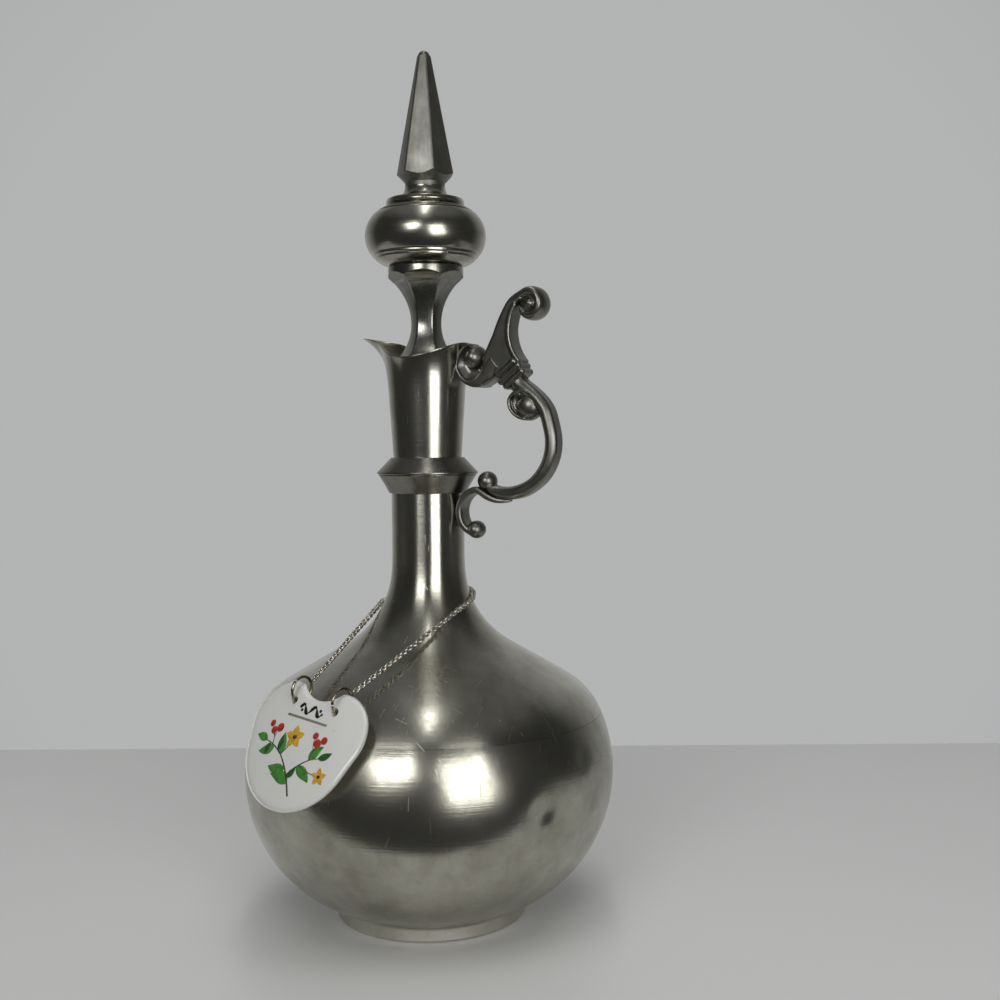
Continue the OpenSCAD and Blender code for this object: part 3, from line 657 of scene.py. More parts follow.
# thumb lever: a flat-sided blade with a hollow front, rolled over at its top into the thumb scroll
leverSet = {"thumb": (46.76, 238.98), "hollow": (55.56, 229.08), "hollowRadius": 17.8, "bladeRadius": 17.6,
            "blade": 8,
            "back": [(27.2, 216.2, 7.4, 3.2), (28, 218.85, 8, 3.8), (30, 223, 8, 4), (32.1, 227.2, 8, 4),
                     (34.9, 233.7, 8, 3.8), (38.5, 239.8, 8.2, 3.4)],
            "roll": [(-3.6, 3.6, 9.2, 3.7), (-0.6, 4.5, 10, 4.2), (2.4, 3.5, 10.4, 4.3),     # from the thumb
                     (3.9, 0.4, 10.6, 4.3), (3.2, -2.6, 10.4, 4.2), (0.8, -4.3, 10, 4),
                     (-2.1, -4, 9.2, 3.4), (-3.9, -1.8, 8.4, 2.4)],
            "front": [(222, 9.2, 1.8), (212, 9.2, 1.8), (200, 9, 1.8), (188, 8.8, 1.8), (176, 8.6, 1.8),
                      (164, 8.6, 1.8), (154, 8.6, 1.8), (146, 8.4, 1.6)],     # turn, width, thickness
            "bladeTop": [(43.5, 241), (40.4, 240.8), (38.5, 239.4)],
            "bladeFoot": [(28.6, 214.8), (31.2, 213.4), (33.6, 212)],
            "fill": (5.2, 4.5), "boss": (2.9, 5.7), "bossShift": (0.2, -0.2)}
thumbX, thumbZ = leverSet["thumb"]
rollPicked = leverSet["back"] + [(thumbX + x, thumbZ + z, *size) for x, z, *size in leverSet["roll"]]
thumbRoll = sweepSection("thumbRoll", smoothSpots(rollPicked), roundedSection(2.3))
frontPicked = [(*polar(leverSet["hollow"], leverSet["hollowRadius"], turn), wide, thick)
               for turn, wide, thick in leverSet["front"]]
frontStrip = sweepSection("frontStrip", smoothSpots(frontPicked), roundedSection(6))
bladeLine = [polar(leverSet["hollow"], leverSet["bladeRadius"], turn) for turn in range(224, 143, -4)]
bladeLine += leverSet["bladeTop"] + [spot[:2] for spot in rollPicked[4::-1]] + leverSet["bladeFoot"]
leverBlade = castPlate("leverBlade", bladeLine, leverSet["blade"])
thumbFill = castBall("thumbFill", leverSet["thumb"], *leverSet["fill"])
bossX, bossZ = leverSet["bossShift"]
thumbBoss = castBall("thumbBoss", (thumbX + bossX, thumbZ + bossZ), *leverSet["boss"])
thumbLever = pourTogether("thumbLever", [thumbRoll, frontStrip, leverBlade, thumbFill, thumbBoss])
settle(thumbLever, "decanter", "cast_pewter", cast, "thumb_lever")

# tied band: three beads round the handle
bandSet = {"centre": (38.56, 212.78), "turn": -50, "bead": 2.6, "overlap": 0.1, "core": (8.6, 9.6, 8.2),
           "sizes": [(9.6, 10.6), (10.6, 12), (9.8, 11)], "roundShare": 0.46, "roundMost": 1.2}


def bandBead(name, shift, across, tall, thick):
    bead = startPiece(name, bpy.ops.mesh.primitive_cube_add, size=mm)
    bpy.ops.object.mode_set(mode="EDIT")
    bpy.ops.transform.resize(value=(thick, across, tall), center_override=(0, 0, 0))
    corner = min(thick * bandSet["roundShare"], bandSet["roundMost"])
    bpy.ops.mesh.bevel(offset=corner * mm, segments=5, affect="EDGES")
    bpy.ops.object.mode_set(mode="OBJECT")
    x, z = bandSet["centre"]
    place = Matrix.Translation(Vector((x, 0, z)) * mm) @ turned(-bandSet["turn"], "Y")
    bead.data.transform(place @ Matrix.Translation((shift * mm, 0, 0)))
    return bead


beads = [bandBead("bead%d" % i, (i - 1) * bandSet["bead"], across, tall, bandSet["bead"] + bandSet["overlap"])
         for i, (across, tall) in enumerate(bandSet["sizes"])]
bandCore = bandBead("bandCore", 0, *bandSet["core"])
tiedBand = pourTogether("tiedBand", beads + [bandCore], 0.2, 2)
settle(tiedBand, "decanter", "cast_pewter", cast, "handle_band")

# bow: round-backed, bevelled inside, running down to a ball
bowSet = {"centre": (35.36, 186.58), "ball": (26.8, 171.8), "ballSize": (3.8, 4.3), "backSquash": 1.1,
          "backShift": -0.1,
          "inside": [(-0.97, -0.36), (-0.86, -0.66), (-0.7, -0.92), (-0.5, -1), (-0.2, -1)],
          "top": [(39.4, 210.2, 8.2, 8), (41.6, 208, 8.2, 7), (44.9, 206, 8.4, 6), (47.8, 203.9, 8.5, 5.6),
                  (50.1, 201.5, 8.7, 5.6), (52.1, 198.4, 8.9, 5.7), (53.55, 193.9, 9, 5.6)],
          "round": [(5, 19.4, 9, 5.6), (-10, 19.4, 9, 5.6), (-25, 19.4, 9, 5.5), (-40, 19.4, 9, 5.4),
                    (-55, 19.4, 8.8, 5.2), (-70, 19.4, 8.8, 5.3), (-85, 19.4, 8.6, 5.1),
                    (-98, 19.2, 8.2, 4.6), (-109, 18.6, 7.6, 3.8), (-118, 17.4, 6.6, 3)]}
# each spot of the round is given by turn, reach, width and thickness
bowSection = [(x, bowSet["backShift"] + bowSet["backSquash"] * y) for x, y in arcLine((0, 0), 1, 0, 180, 18)]
bowSection += bowSet["inside"] + [(-x, y) for x, y in bowSet["inside"][::-1]]
bowPicked = bowSet["top"] + [(*polar(bowSet["centre"], reach, turn), wide, thick)
                             for turn, reach, wide, thick in bowSet["round"]]
bowSweep = sweepSection("bowSweep", flipThickness(smoothSpots(bowPicked)), bowSection)

# a roll that curls inside the bow's top
rollSet = {"rim": [(45.6, 206.6, 1.8), (42.6, 207, 1.7), (39.6, 206, 1.6), (37.6, 203.8, 1.5),
                   (37.2, 201.4, 1.5), (37.9, 199, 1.5), (39.5, 197, 1.5), (42, 195.4, 1.5),
                   (44.8, 194.8, 1.2)],
           "ridge": [(42.4, 205, 7.4, 1.1), (40.6, 203.8, 7.4, 1.1), (39.9, 201.6, 7.4, 1.1),
                     (40.6, 199.4, 7.4, 1), (42.6, 198, 7, 0.9)],
           "width": 8.6, "ball": (45.1, 200.4), "ballSize": (5.6, 4.9), "web": 5.8, "webEnd": (47, 200.4)}
rollEdge = insideEdge(flipThickness(rollSet["rim"]), rollSet["width"])
rollStrip = sweepSection("rollStrip", smoothSpots(flipThickness(rollEdge)), stripSection)
rollRidge = sweepSection("rollRidge", smoothSpots(rollSet["ridge"]), stripSection)
rollFill = castPlate("rollFill", [spot[:2] for spot in rollSet["rim"]] + [rollSet["webEnd"]], rollSet["web"])
rollBall = castBall("rollBall", rollSet["ball"], *rollSet["ballSize"])
bowBall = castBall("bowBall", bowSet["ball"], *bowSet["ballSize"])
handleBow = pourTogether("handleBow", [bowSweep, rollStrip, rollRidge, rollFill, rollBall, bowBall])
settle(handleBow, "decanter", "cast_pewter", cast, "handle_bow")

# lower scroll: an S of thin strip from a pointed tail under the bow to a hook with a ball
hookSet = {"centre": (24.45, 159.78), "reach": 8.85, "ball": (21.9, 152.9), "ballSize": (3.5, 4.2),
           "tail": [(37, 164.4, 2.4, 0.6), (35, 164.2, 5, 1.5), (31.6, 164.5, 7, 2.3), (28.2, 165.7, 8, 2.7),
                    (25.4, 167.4, 8.2, 2.7), (23.2, 168.4, 8.2, 2.6)],
           "hook": [(112, 8.2, 2.7), (130, 8.2, 2.7), (150, 8.2, 2.7), (170, 8.2, 2.7), (190, 8.2, 2.7),
                    (210, 8, 2.7), (230, 7.6, 2.6), (248, 6.8, 2.4), (262, 5.6, 2)]}  # turn, width, thickness
hookPicked = hookSet["tail"] + [(*polar(hookSet["centre"], hookSet["reach"], turn), wide, thick)
                                for turn, wide, thick in hookSet["hook"]]
hookStrip = sweepSection("hookStrip", smoothSpots(hookPicked), stripSection)
hookBall = castBall("hookBall", hookSet["ball"], *hookSet["ballSize"])
lowerScroll = pourTogether("lowerScroll", [hookStrip, hookBall])
settle(lowerScroll, "decanter", "cast_pewter", cast, "lower_scroll")
print("handle castings poured")

# cork: tapered plug with eased edges, bored for the stem's peg
corkSet = {"foot": 186.98, "top": 206.98, "footRadius": 11.9, "topRadius": 13.1, "bore": 4.06,
           "boreFoot": 190.68}
corkLine = roundCorners([(0, corkSet["foot"]), (corkSet["footRadius"], corkSet["foot"], 0.7),
                         (corkSet["topRadius"], corkSet["top"], 0.4), (corkSet["bore"], corkSet["top"]),
                         (corkSet["bore"], corkSet["boreFoot"]), (0, corkSet["boreFoot"])])
stopperCork = spinPiece("stopperCork", corkLine, 72)
settle(stopperCork, "stopper", "cork", corkSkin, "stopper_cork")


# six-sided stack: a hexagon extruded level by level, its corners eased, then cut by a turned envelope
def sixSided(name, levels, cornerTurn, ease, envelope):
    piece = startPiece(name, bpy.ops.mesh.primitive_circle_add, vertices=6, radius=levels[0][1] * mm,
                       fill_type="NGON")
    bpy.ops.object.mode_set(mode="EDIT")
    bpy.ops.transform.translate(value=(0, 0, levels[0][0] * mm))
    for (z0, r0), (z1, r1) in zip(levels, levels[1:]):
        bpy.ops.mesh.extrude_region_move(TRANSFORM_OT_translate={"value": (0, 0, (z1 - z0) * mm)})
        bpy.ops.transform.resize(value=(r1 / r0, r1 / r0, 1), center_override=(0, 0, 0))
    leaveEdit()
    first = piece.data.vertices[0].co
    piece.data.transform(Matrix.Rotation(math.radians(cornerTurn) - math.atan2(first.y, first.x), 4, "Z"))
    applyModifier(piece, "BEVEL", width=ease * mm, segments=3, limit_method="ANGLE",
                  angle_limit=math.radians(45))
    cutter = spinPiece(name + "Envelope", envelope, 144)
    applyModifier(piece, "BOOLEAN", operation="INTERSECT", solver="EXACT", object=cutter)
    bpy.data.objects.remove(cutter)
    makeActive(piece)
    bpy.ops.object.mode_set(mode="EDIT")
    bpy.ops.mesh.select_all(action="SELECT")
    bpy.ops.mesh.remove_doubles(threshold=0.02 * mm)     # slivers left by the cut
    bpy.ops.mesh.dissolve_degenerate(threshold=0.01 * mm)
    bpy.ops.object.mode_set(mode="OBJECT")
    smoothBy(piece, 28)
    return piece


# stem: waisted, six-sided, arched where its faces meet the round band under the knop
stemSet = {"foot": 207.28, "skirt": 220.08, "waist": 233.48, "waistFlat": 5.283, "footFlat": 10.11,
           "lowArc": 21, "upArc": 25.44, "upRise": 20.6, "lowSteps": 14, "upSteps": 22,
           "bandTop": 255.88, "bandRadius": 14.8, "skirtRadius": 10.4, "turn": 25, "ease": 0.55,
           "archFoot": 219.6, "archMiddle": (12.5, 228), "archTop": 240}
toCorner = 1 / math.cos(math.radians(30))


# from the waist the faces swing out on an arc, down to the skirt and up to the band
def stemLevel(z, arc):
    return z, (stemSet["waistFlat"] + arc - math.sqrt(arc ** 2 - (z - stemSet["waist"]) ** 2)) * toCorner


stemLevels = [(stemSet["foot"] - 1, stemSet["footFlat"] * toCorner)]
for i in range(stemSet["lowSteps"] + 1):
    rise = (stemSet["waist"] - stemSet["skirt"]) * i / stemSet["lowSteps"]
    stemLevels.append(stemLevel(stemSet["skirt"] + rise, stemSet["lowArc"]))
for i in range(1, stemSet["upSteps"] + 1):
    rise = stemSet["upRise"] * i / stemSet["upSteps"]
    stemLevels.append(stemLevel(stemSet["waist"] + rise, stemSet["upArc"]))
stemLevels.append((stemSet["bandTop"] + 2, stemLevels[-1][1]))
stemFoot = [(0, stemSet["foot"]), (stemSet["skirtRadius"], stemSet["foot"], 0.3)]
stemBand = [(stemSet["bandRadius"], stemSet["bandTop"], 0.7), (0, stemSet["bandTop"])]
stemArches = [(stemSet["skirtRadius"], stemSet["archFoot"]), stemSet["archMiddle"],
              (stemSet["bandRadius"], stemSet["archTop"])]
stemEnvelope = roundCorners(stemFoot + stemArches + stemBand)
stopperStem = sixSided("stopperStem", stemLevels, stemSet["turn"], stemSet["ease"], stemEnvelope)
settle(stopperStem, "stopper", "spun_pewter", filed, "stopper_stem")

# knop: two cups, each with a pair of incised lines
knopSet = {"centre": (11.8, 267.69), "arc": 12, "wall": 1.8, "foot": 255.93, "top": 279.4, "floor": 258.1,
           "ceiling": 277.2, "lowTurns": (-78.46, -0.3, -70), "upTurns": (77, 0.1, 69), "step": 0.7,
           "lines": (-46, -38, 51, 59), "lineDepth": 0.5, "lineWidth": 1.9}


def knopSide(fromTurn, toTurn):
    count = round(abs(toTurn - fromTurn) / knopSet["step"])
    line = []
    for i in range(count + 1):
        turn = fromTurn + (toTurn - fromTurn) * i / count
        dip = sum(math.exp(-((turn - cut) / knopSet["lineWidth"]) ** 2) for cut in knopSet["lines"])
        line.append(polar(knopSet["centre"], knopSet["arc"] - knopSet["lineDepth"] * dip, turn))
    return line


def knopInside(fromTurn, toTurn):
    return arcLine(knopSet["centre"], knopSet["arc"] - knopSet["wall"], fromTurn, toTurn, 14)


lowEnd, lowJoint, lowInside = knopSet["lowTurns"]
knopLower = spinPiece("knopLower", [(0, knopSet["foot"])] + knopSide(lowEnd, lowJoint)
                      + knopInside(lowJoint, lowInside) + [(0, knopSet["floor"])], 144)
upEnd, upJoint, upInside = knopSet["upTurns"]
knopUpper = spinPiece("knopUpper", knopSide(upJoint, upEnd) + [(0, knopSet["top"]), (0, knopSet["ceiling"])]
                      + knopInside(upInside, upJoint), 144)
settle(knopLower, "stopper", "spun_pewter", spun, "knop_lower")
settle(knopUpper, "stopper", "spun_pewter", spun, "knop_upper")

# cap: a rounded disc that sweeps in to the neck of the spire
capSet = {"foot": 279.48, "footRadius": 14.6, "neckRadius": 7.8, "neckTop": 286.88,
          "edge": [(15.5, 280.3, 0.6), (15.1, 281.9, 0.7), (13.6, 282.3, 0.3)],
          "sweep": ((12.9, 286.98), 4.9, 262, 182, 12)}     # centre, radius, turns, steps
capFoot = [(0, capSet["foot"]), (capSet["footRadius"], capSet["foot"], 0.3)]
capLine = roundCorners(capFoot + capSet["edge"]) + arcLine(*capSet["sweep"])
capLine += [(capSet["neckRadius"], capSet["neckTop"]), (0, capSet["neckTop"])]
knopCap = spinPiece("knopCap", capLine, 144)
settle(knopCap, "stopper", "spun_pewter", spun, "knop_cap")

# spire: six-sided point, turned to a cone underneath so that the faces end in arches
spireSet = {"foot": 286.93, "neckTop": 288.43, "base": 292.43, "tip": 339.93, "baseRadius": 11.5,
            "tipRadius": 2.3, "neckRadius": 7.8, "turn": 17, "ease": 0.6, "arches": [(18, 299.4), (12, 326)],
            "tipRound": 2.4}
spireLevels = [(spireSet["foot"] - 1, spireSet["baseRadius"]), (spireSet["base"], spireSet["baseRadius"]),
               (spireSet["tip"] + 1, spireSet["tipRadius"])]
spireTip = arcLine((0, spireSet["tip"] - spireSet["tipRound"]), spireSet["tipRound"], 12, 90, 8)
spireNeck = [(0, spireSet["foot"]), (spireSet["neckRadius"], spireSet["foot"]),
             (spireSet["neckRadius"], spireSet["neckTop"], 0.5)]
spireEnvelope = roundCorners(spireNeck + spireSet["arches"] + spireTip)
stopperSpire = sixSided("stopperSpire", spireLevels, spireSet["turn"], spireSet["ease"], spireEnvelope)
settle(stopperSpire, "stopper", "spun_pewter", dulledAndShaded, "stopper_spire")
print("stopper made")

# jump rings: round wire with a small split, through the plate's holes
ringSet = {"radius": 4.65, "wire": 1.1, "split": 10, "splitTurn": 100, "splitLean": 30, "steps": 56}
fromHandle = Matrix(((0, 1, 0, 0), (1, 0, 0, 0), (0, 0, 1, 0), (0, 0, 0, 1)))     # the sweep's XZ to YZ
ringPieces = []
for side in (-1, 1):
    start = ringSet["splitTurn"] + ringSet["splitLean"] * side + ringSet["split"] / 2
    ringLine = arcLine((0, 0), ringSet["radius"], start, start + 360 - ringSet["split"], ringSet["steps"])
    ringSpots = [(x, z, ringSet["wire"], ringSet["wire"]) for x, z in ringLine]
    loop = sweepSection("jumpRing", ringSpots, roundedSection(2, 14))
    hang = Matrix.Translation((side * labelSet["holeGap"] / 2, ringSet["radius"], 0))
    loop.data.transform(toPlate @ hang @ fromHandle @ Matrix.Scale(1 / mm, 4))
    ringPieces.append(loop)
labelRings = joinPieces("labelRings", ringPieces)
bpy.ops.object.mode_set(mode="EDIT")
leaveEdit()
smoothBy(labelRings, 50)
settle(labelRings, "rings", "chain_metal", ringWire, "label_rings")

# chain: one oval link, copied along the route and turned a quarter each time
linkRadius = (chainSet["wide"] - chainSet["wire"]) / 2 * mm
linkStretch = (chainSet["long"] - chainSet["wide"]) / 2 * mm
chainLink = startPiece("chainLink", bpy.ops.mesh.primitive_torus_add, major_segments=12, minor_segments=5,
                       major_radius=linkRadius, minor_radius=chainSet["wire"] / 2 * mm)
for vertex in chainLink.data.vertices:          # the ring is drawn out to an oval along X
    vertex.co.x += math.copysign(min(1, abs(vertex.co.x) / (0.2 * mm)), vertex.co.x) * linkStretch


def routeSpot(distance):
    for here, there in zip(chainRoute, chainRoute[1:]):
        a, b = Vector(here), Vector(there)
        if distance <= (b - a).length:
            return a + (b - a) * distance / (b - a).length, (b - a).normalized()
        distance -= (b - a).length
    return Vector(chainRoute[-1]), (Vector(chainRoute[-1]) - Vector(chainRoute[-2])).normalized()


# the turn is counted from the way out from the neck
def linkAt(spot, along, turn):
    copy = chainLink.copy()
    copy.data = chainLink.data.copy()
    scene.collection.objects.link(copy)
    outward = Vector((spot.x, spot.y, 0))
    outward = (outward - along * outward.dot(along)).normalized()
    lie = Matrix((along, outward.cross(along), outward)).transposed().to_4x4()
    copy.data.transform(Matrix.Translation(spot) @ lie @ turned(turn, "X"))
    return copy


routeLength = sum((Vector(b) - Vector(a)).length for a, b in zip(chainRoute, chainRoute[1:]))
linkSpan = routeLength / mm - chainSet["long"]
linkCount = round(linkSpan / chainSet["pitch"])
links = []
for i in range(linkCount + 1):
    spot, along = routeSpot((chainSet["long"] / 2 + linkSpan * i / linkCount) * mm)
    sway = chainSet["sway"] * noise.noise((i * 0.7, 3.1, 0))
    links.append(linkAt(spot, along, chainSet["lean"] + 90 * (i % 2) + sway))
bpy.data.objects.remove(chainLink)
labelChain = joinPieces("labelChain", links)
smoothAll(labelChain)
settle(labelChain, "chain", "chain_metal", chainWire, "label_chain")
print("chain of", len(links), "links,", round(routeLength / mm, 1), "mm")

# label plate: the outline is filled, thickened, its rim rounded, the face cut in a grid and domed
plateSet = {"lobeRadius": 14.7, "lobe": (13, -7.3), "pointRadius": 25.3, "point": (0, -13.4),
            "notchRadius": 12.8, "notchDepth": 4.9, "rim": 1.9, "horn": 2.2, "gridHalf": 24, "gridStep": 3,
            "gridDrop": 16, "domeFrom": 1.2, "sinkRadius": 2.4}


def plateOutline():
    lobe, point = Vector(plateSet["lobe"]), Vector(plateSet["point"])
    big, small, horn = plateSet["pointRadius"], plateSet["lobeRadius"], plateSet["horn"]
    hollow = plateSet["notchRadius"]
    spread = math.acos((big - small) / (lobe - point).length)
    tangent = math.degrees(math.atan2(lobe.y - point.y, lobe.x) - spread)
    notch = Vector((0, small + plateSet["lobe"][1] - plateSet["notchDepth"] + hollow))
    near, far = small - horn, hollow + horn      # to the small circle that rounds the horn
    gap = (notch - lobe).length
    share = math.acos((near ** 2 + gap ** 2 - far ** 2) / (2 * near * gap))
    aim = math.atan2(notch.y - lobe.y, notch.x - lobe.x) - share
    tip = lobe + Vector((math.cos(aim), math.sin(aim))) * near
    leave = math.degrees(math.atan2(tip.y - notch.y, tip.x - notch.x))
    right = arcLine(point, big, -90, tangent, 22)[:-1]
    right += arcLine(lobe, small, tangent, math.degrees(aim), 26)[:-1]
    right += arcLine(tip, horn, math.degrees(aim), leave + 180, 8)[:-1]
    right += arcLine(notch, hollow, leave, -90, 8)
    return right + [(-x, y) for x, y in right[1:-1][::-1]]


def faceHeight(x, y):
    dome = labelSet["domeRadius"]
    return labelSet["thickness"] / 2 - dome + math.sqrt(dome ** 2 - x ** 2 - (y + labelSet["domeDrop"]) ** 2)


labelPlate = castPlate("labelPlate", plateOutline(), labelSet["thickness"])
labelPlate.data.transform(Matrix.Scale(1 / mm, 4))
labelPlate.data.transform(Matrix(((1, 0, 0, 0), (0, 0, 1, 0), (0, -1, 0, 0), (0, 0, 0, 1))))   # face to +Z
applyModifier(labelPlate, "BEVEL", width=plateSet["rim"], segments=6, limit_method="ANGLE",
              angle_limit=math.radians(60))
makeActive(labelPlate)
bpy.ops.object.mode_set(mode="EDIT")
for cut in range(-plateSet["gridHalf"], plateSet["gridHalf"] + 1, plateSet["gridStep"]):
    for normal, where in (((1, 0, 0), (cut, 0, 0)), ((0, 1, 0), (0, cut - plateSet["gridDrop"], 0))):
        bpy.ops.mesh.select_all(action="SELECT")
        bpy.ops.mesh.bisect(plane_co=where, plane_no=normal)
bpy.ops.object.mode_set(mode="OBJECT")
for vertex in labelPlate.data.vertices:
    if vertex.co.z > 0:
        rise = faceHeight(vertex.co.x, vertex.co.y) - labelSet["thickness"] / 2
        vertex.co.z += rise * min(1, vertex.co.z / plateSet["domeFrom"])
hole, sink = labelSet["holeRadius"], plateSet["sinkRadius"]
drillLine = [(0, -6), (hole, -6), (hole, 0.9), (hole + 0.12, 1.3), (sink, 2.05), (sink, 6), (0, 6)]
for side in (-1, 1):
    drill = spinPiece("drill", [(x / mm, z / mm) for x, z in drillLine], 32)
    drill.data.transform(Matrix.Translation((side * labelSet["holeGap"] / 2, 0, 0)))
    applyModifier(labelPlate, "BOOLEAN", operation="DIFFERENCE", solver="EXACT", object=drill)
    bpy.data.objects.remove(drill)
labelPlate.data.transform(toPlate)
smoothBy(labelPlate, 40)
settle(labelPlate, "tag", "porcelain", porcelain, "label_plate")
print("label made")

# printed sprig: each stroke is a ribbon laid on the domed face, just proud of it
inkSet = {"lift": 0.015, "film": 0.03, "across": (-1, -0.5, 0, 0.5, 1)}


def inkStrokes(name, strokes, colour, thin):
    work = bmesh.new()
    for line, widths in strokes:
        rows = []
        for i, (x, y) in enumerate(line):
            along = lineAlong(line, i)
            row = []
            for k in inkSet["across"]:
                px, py = x - along.y * widths[i] / 2 * k, y + along.x * widths[i] / 2 * k
                row.append(work.verts.new((px, py, faceHeight(px, py) + inkSet["lift"])))
            rows.append(row)
        for first, second in zip(rows, rows[1:]):
            for k in range(len(first) - 1):
                work.faces.new((first[k], second[k], second[k + 1], first[k + 1]))
    bmesh.ops.recalc_face_normals(work, faces=work.faces)
    for face in work.faces:
        if face.normal.z < 0:
            face.normal_flip()
    piece = meshPiece(name, work)
    applyModifier(piece, "SOLIDIFY", thickness=inkSet["film"], offset=1)
    piece.data.transform(toPlate)
    smoothAll(piece)
    settle(piece, "tag", "porcelain", firedEnamel(name, colour, thin))


def leafStroke(x, y, turn, long, wide, curl=0.0):
    line, widths = [], []
    for i in range(11):
        t = i / 10
        line.append(polar((x, y), long * t, turn + curl * t))
        widths.append(max(0.06, wide * math.sin(math.pi * t ** 0.8) ** 0.9))
    return line, widths


def dotStroke(x, y, radius):
    spots = [radius * math.cos(math.pi * i / 10) for i in range(11)]
    widths = [max(0.05, 2 * math.sqrt(max(0, radius ** 2 - s ** 2))) for s in spots]
    return [(x - s, y) for s in spots], widths


def twigStroke(wide, *points):
    line = [s[:2] for s in smoothSpots([(x, y, 0, 0) for x, y in points], 0.8)]
    return line, [wide * (1 - 0.55 * i / (len(line) - 1)) for i in range(len(line))]


def flowerStrokes(x, y, size):
    turns = [math.degrees(math.tau * k / 5 + 0.5) for k in range(5)]
    return [leafStroke(*polar((x, y), 0.5, turn), turn, size, size * 0.72) for turn in turns]


flowers = [(-1.8, -12.6, 3.9, 1), (15.6, -22.8, 2.7, 0.75)]     # x, y, petal, heart
leaves = [leafStroke(3.2, -28.6, 150, 9.5, 4.6, 22), leafStroke(-0.4, -23.9, 205, 8.6, 4, -18),
          leafStroke(-4.8, -20, 118, 8.4, 4.2, -14), leafStroke(-9.6, -17.6, 222, 8, 3.8, -16),
          leafStroke(-14.6, -16.5, 160, 6.4, 3.2, 12), leafStroke(4.4, -22.2, -8, 8.6, 4, -18),
          leafStroke(8.8, -18.7, 76, 7.4, 3.6, -20)]
darkLeaves = [leafStroke(1.6, -26.6, 40, 5.4, 2.4, 20), leafStroke(-7.2, -18.6, 80, 5.6, 2.4, 14),
              leafStroke(12.4, -17, 20, 6, 2.6, 14), leafStroke(-12.2, -17, 250, 4.8, 2.2, 8)]
berries = [dotStroke(-13.2, -12.4, 1.5), dotStroke(-10.6, -10.9, 1.7), dotStroke(-15.4, -10.2, 1.3),
           dotStroke(9.4, -12.2, 1.6), dotStroke(11.9, -10.6, 1.4), dotStroke(7.4, -9.9, 1.3)]
petals = [petal for x, y, size, heart in flowers for petal in flowerStrokes(x, y, size)]
twigs = [twigStroke(0.75, (5.5, -32.5), (2.8, -28), (-0.8, -23.5), (-5.5, -19.6), (-11, -17.2), (-16, -16.4)),
         twigStroke(0.6, (1.2, -26), (4.8, -21.8), (9.2, -18.4), (13.4, -16.8)),
         twigStroke(0.5, (-5.2, -19.8), (-3, -16.4), (-1.8, -13)),
         twigStroke(0.42, (-11, -17.2), (-11.6, -14), (-10.7, -11.4)),
         twigStroke(0.36, (-11.5, -15), (-13, -12.8)),
         twigStroke(0.36, (-11.8, -14), (-14.6, -11.6), (-15.3, -10.4)),
         twigStroke(0.42, (8.6, -18.8), (9.2, -15), (9.4, -12.6)),
         twigStroke(0.36, (9.2, -15), (11, -12.6), (11.8, -11)),
         twigStroke(0.36, (9.1, -15.4), (7.8, -12.6), (7.4, -10.2)),
         twigStroke(0.45, (5.4, -21.4), (10.4, -22.6), (15, -22.8))]
twigs += [dotStroke(x, y, heart) for x, y, size, heart in flowers]
inkStrokes("sprigLeaves", leaves, "#4C8A3C", "#3A6E2E")
inkStrokes("sprigDarkLeaves", darkLeaves, "#2F5B2B", "#264A25")
inkStrokes("sprigBerries", berries, "#B23A30", "#8E2A24")
inkStrokes("sprigPetals", petals, "#D2A63A", "#B98A28")
inkStrokes("sprigTwigs", twigs, "#33302A", "#4A463C")

# a plain flourish of two waves with a dot near each end, and a rule under it
waveSet = {"steps": 52, "waves": 2, "start": -5.8, "long": 11.6, "middle": -1.9, "tall": 1.5, "thin": 0.4,
           "swell": 1.1, "lean": 0.8}
waveLine, waveWidths = [], []
for i in range(waveSet["steps"] + 1):
    turn = math.tau * waveSet["waves"] * i / waveSet["steps"]
    across = waveSet["start"] + waveSet["long"] * i / waveSet["steps"]
    waveLine.append((across, waveSet["middle"] + waveSet["tall"] * math.sin(turn)))
    waveWidths.append(waveSet["thin"] + waveSet["swell"] * abs(math.sin(turn + waveSet["lean"])))
ornament = [(waveLine, waveWidths), dotStroke(-4.4, -2.6, 0.6), dotStroke(4.4, -1.2, 0.6)]
rule = [([(-10 + 20 * i / 14, -5.4) for i in range(15)], [0.9] * 15)]
inkStrokes("labelOrnament", ornament, "#1E1E1D", "#2C2B29")
inkStrokes("labelRule", rule, "#6F7263", "#7F826F")
print("sprig printed")

# the base plate keeps its CAD shape
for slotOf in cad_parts["base_plate"].material_slots:
    slotOf.material = spun

# stage: a pale table in matt white paint, very slightly uneven, that ends just in front of the object
stageSet = {"tones": ("#DEDEDD", "#D9D9D8"), "front": 0.115, "back": 0.27, "half": 0.6, "under": 0.0002}
tablePaint, paintTree, paintSurface, paintWhere = startMaterial("table_painted_matt")
paintCloud = addNode(paintTree, "ShaderNodeTexNoise", {"Scale": 5, "Detail": 3},
                     {"Vector": paintWhere})     # 200 mm patches
paintFrom, paintTo = stageSet["tones"]
paintTone = addNode(paintTree, "ShaderNodeMix", {6: paintFrom, 7: paintTo}, {0: paintCloud.outputs[0]},
                    data_type="RGBA")
paintTree.links.new(paintTone.outputs[2], paintSurface["Base Color"])
paintSurface["Roughness"].default_value = 0.5
floor = startPiece("floor", bpy.ops.mesh.primitive_plane_add, size=1)
floorShift = Matrix.Translation((0, (stageSet["back"] - stageSet["front"]) / 2, -stageSet["under"]))
floorSize = Matrix.Diagonal((2 * stageSet["half"], stageSet["back"] + stageSet["front"], 1, 1))
floor.data.transform(turned(cameraSet["heading"], "Z") @ floorShift @ floorSize)
floor.data.materials.append(tablePaint)

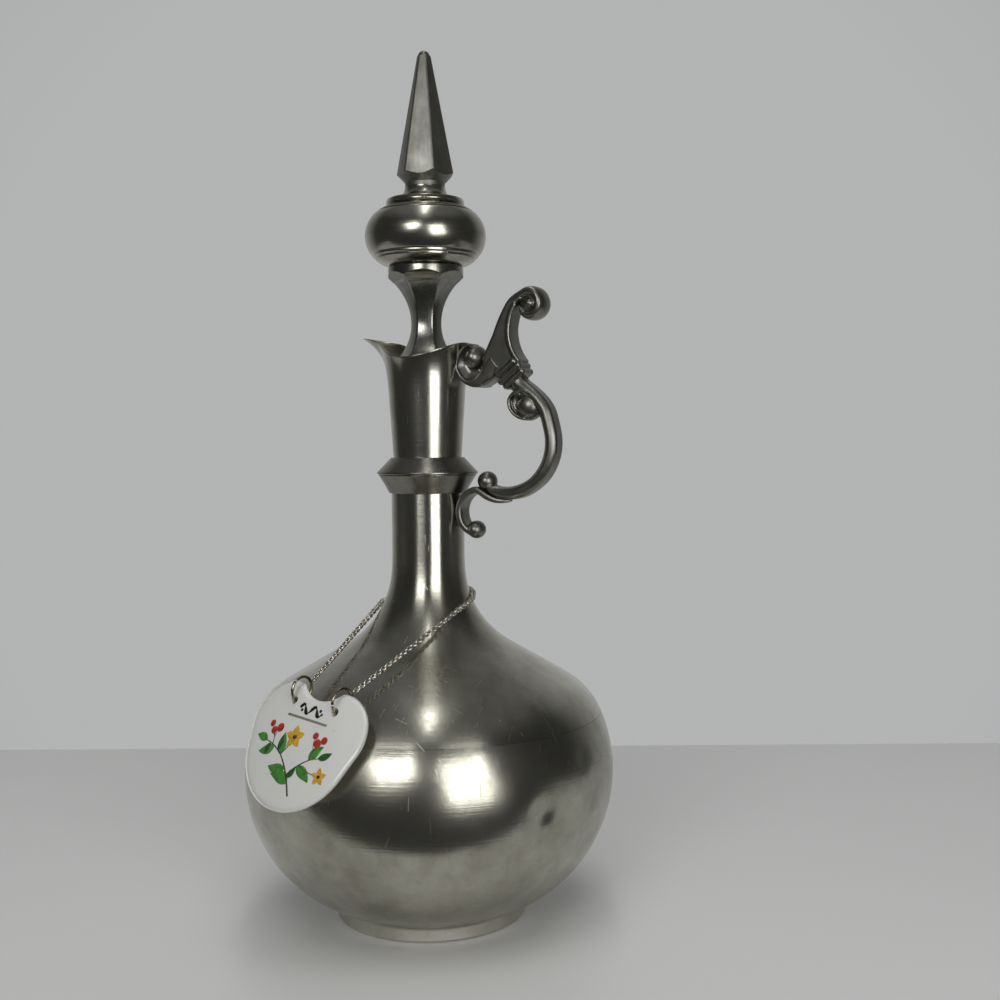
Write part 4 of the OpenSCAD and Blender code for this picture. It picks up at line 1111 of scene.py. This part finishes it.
# lamps: two soft windows behind the camera, a long ceiling strip, and a fill that the metal doesn't mirror
# each has its direction, rise, distance, width, height, brightness and tilt
lampSet = {"leftWindow": (-84, 18, 3, 1.2, 0.95, 6.2, 20),
           "rightWindow": (-38, 7, 1.2, 0.55, 0.7, 4.5, 10), "ceilingStrip": (-63, 92, 1.5, 0.14, 1.9, 3, 0),
           "softFill": (-63, 66, 1.5, 1.1, 1.1, 1.7, 0)}
lampCentre = Vector((0, 0, 0.12))
for name, (turn, rise, far, wide, tall, bright, tilt) in lampSet.items():
    lamp = bpy.data.lights.new(name, "AREA")
    lamp.shape = "ELLIPSE" if name == "ceilingStrip" else "RECTANGLE"
    lamp.size, lamp.size_y = wide, tall
    lamp.energy = bright * math.pi * wide * tall
    flat, up = math.cos(math.radians(rise)), math.sin(math.radians(rise))
    aim = Vector((*polar((0, 0), flat, turn), up))
    facing = aim.to_track_quat("Z", "Y").to_matrix().to_4x4()
    lampObject = bpy.data.objects.new(name, lamp)
    scene.collection.objects.link(lampObject)
    lampObject.matrix_world = Matrix.Translation(aim * far + lampCentre) @ facing @ turned(tilt, "Z")
    lampObject.visible_camera = False
    lampObject.visible_glossy = name != "softFill"

# room: pale behind the object, dim on the camera's side, light from the ceiling, a glow along its strip
roomSet = {"colour": "#FAFBFB", "toCamera": (0.454, -0.891, 0), "acrossStrip": (0.891, 0.454, 0)}
world = bpy.data.worlds.new("room")
scene.world = world
world.use_nodes = True
sky = world.node_tree
toward = addNode(sky, "ShaderNodeTexCoord").outputs["Generated"]
cameraSide = addNode(sky, "ShaderNodeVectorMath", {1: roomSet["toCamera"]}, {0: toward},
                     operation="DOT_PRODUCT").outputs["Value"]
stripSide = addNode(sky, "ShaderNodeVectorMath", {1: roomSet["acrossStrip"]}, {0: toward},
                    operation="DOT_PRODUCT").outputs["Value"]
upward = addNode(sky, "ShaderNodeSeparateXYZ", None, {0: toward}).outputs["Z"]
behind = addNode(sky, "ShaderNodeMapRange", {1: -0.92, 2: -0.3, 3: 0.47, 4: 0.048},
                 {0: cameraSide}).outputs[0]
ceiling = addNode(sky, "ShaderNodeMapRange", {1: 0.5, 2: 0.85, 3: 0, 4: 0.15}, {0: upward}).outputs[0]
offStrip = addNode(sky, "ShaderNodeMath", None, {0: stripSide}, operation="ABSOLUTE").outputs[0]
stripWidth = addNode(sky, "ShaderNodeMapRange", {1: 0.02, 2: 0.27, 3: 0.62, 4: 0}, {0: offStrip},
                     interpolation_type="SMOOTHSTEP").outputs[0]
stripHeight = addNode(sky, "ShaderNodeMapRange", {1: 0.5, 2: 0.88, 3: 0, 4: 1}, {0: upward},
                      interpolation_type="SMOOTHSTEP").outputs[0]
glow = addNode(sky, "ShaderNodeMath", None, {0: stripWidth, 1: stripHeight}, operation="MULTIPLY").outputs[0]
overhead = addNode(sky, "ShaderNodeMath", None, {0: glow, 1: ceiling}, operation="MAXIMUM").outputs[0]
level = addNode(sky, "ShaderNodeMath", None, {0: behind, 1: overhead}, operation="MAXIMUM").outputs[0]
background = sky.nodes["Background"].inputs
sky.links.new(level, background["Strength"])
background["Color"].default_value = hexColour(roomSet["colour"])
print("stage and light set")
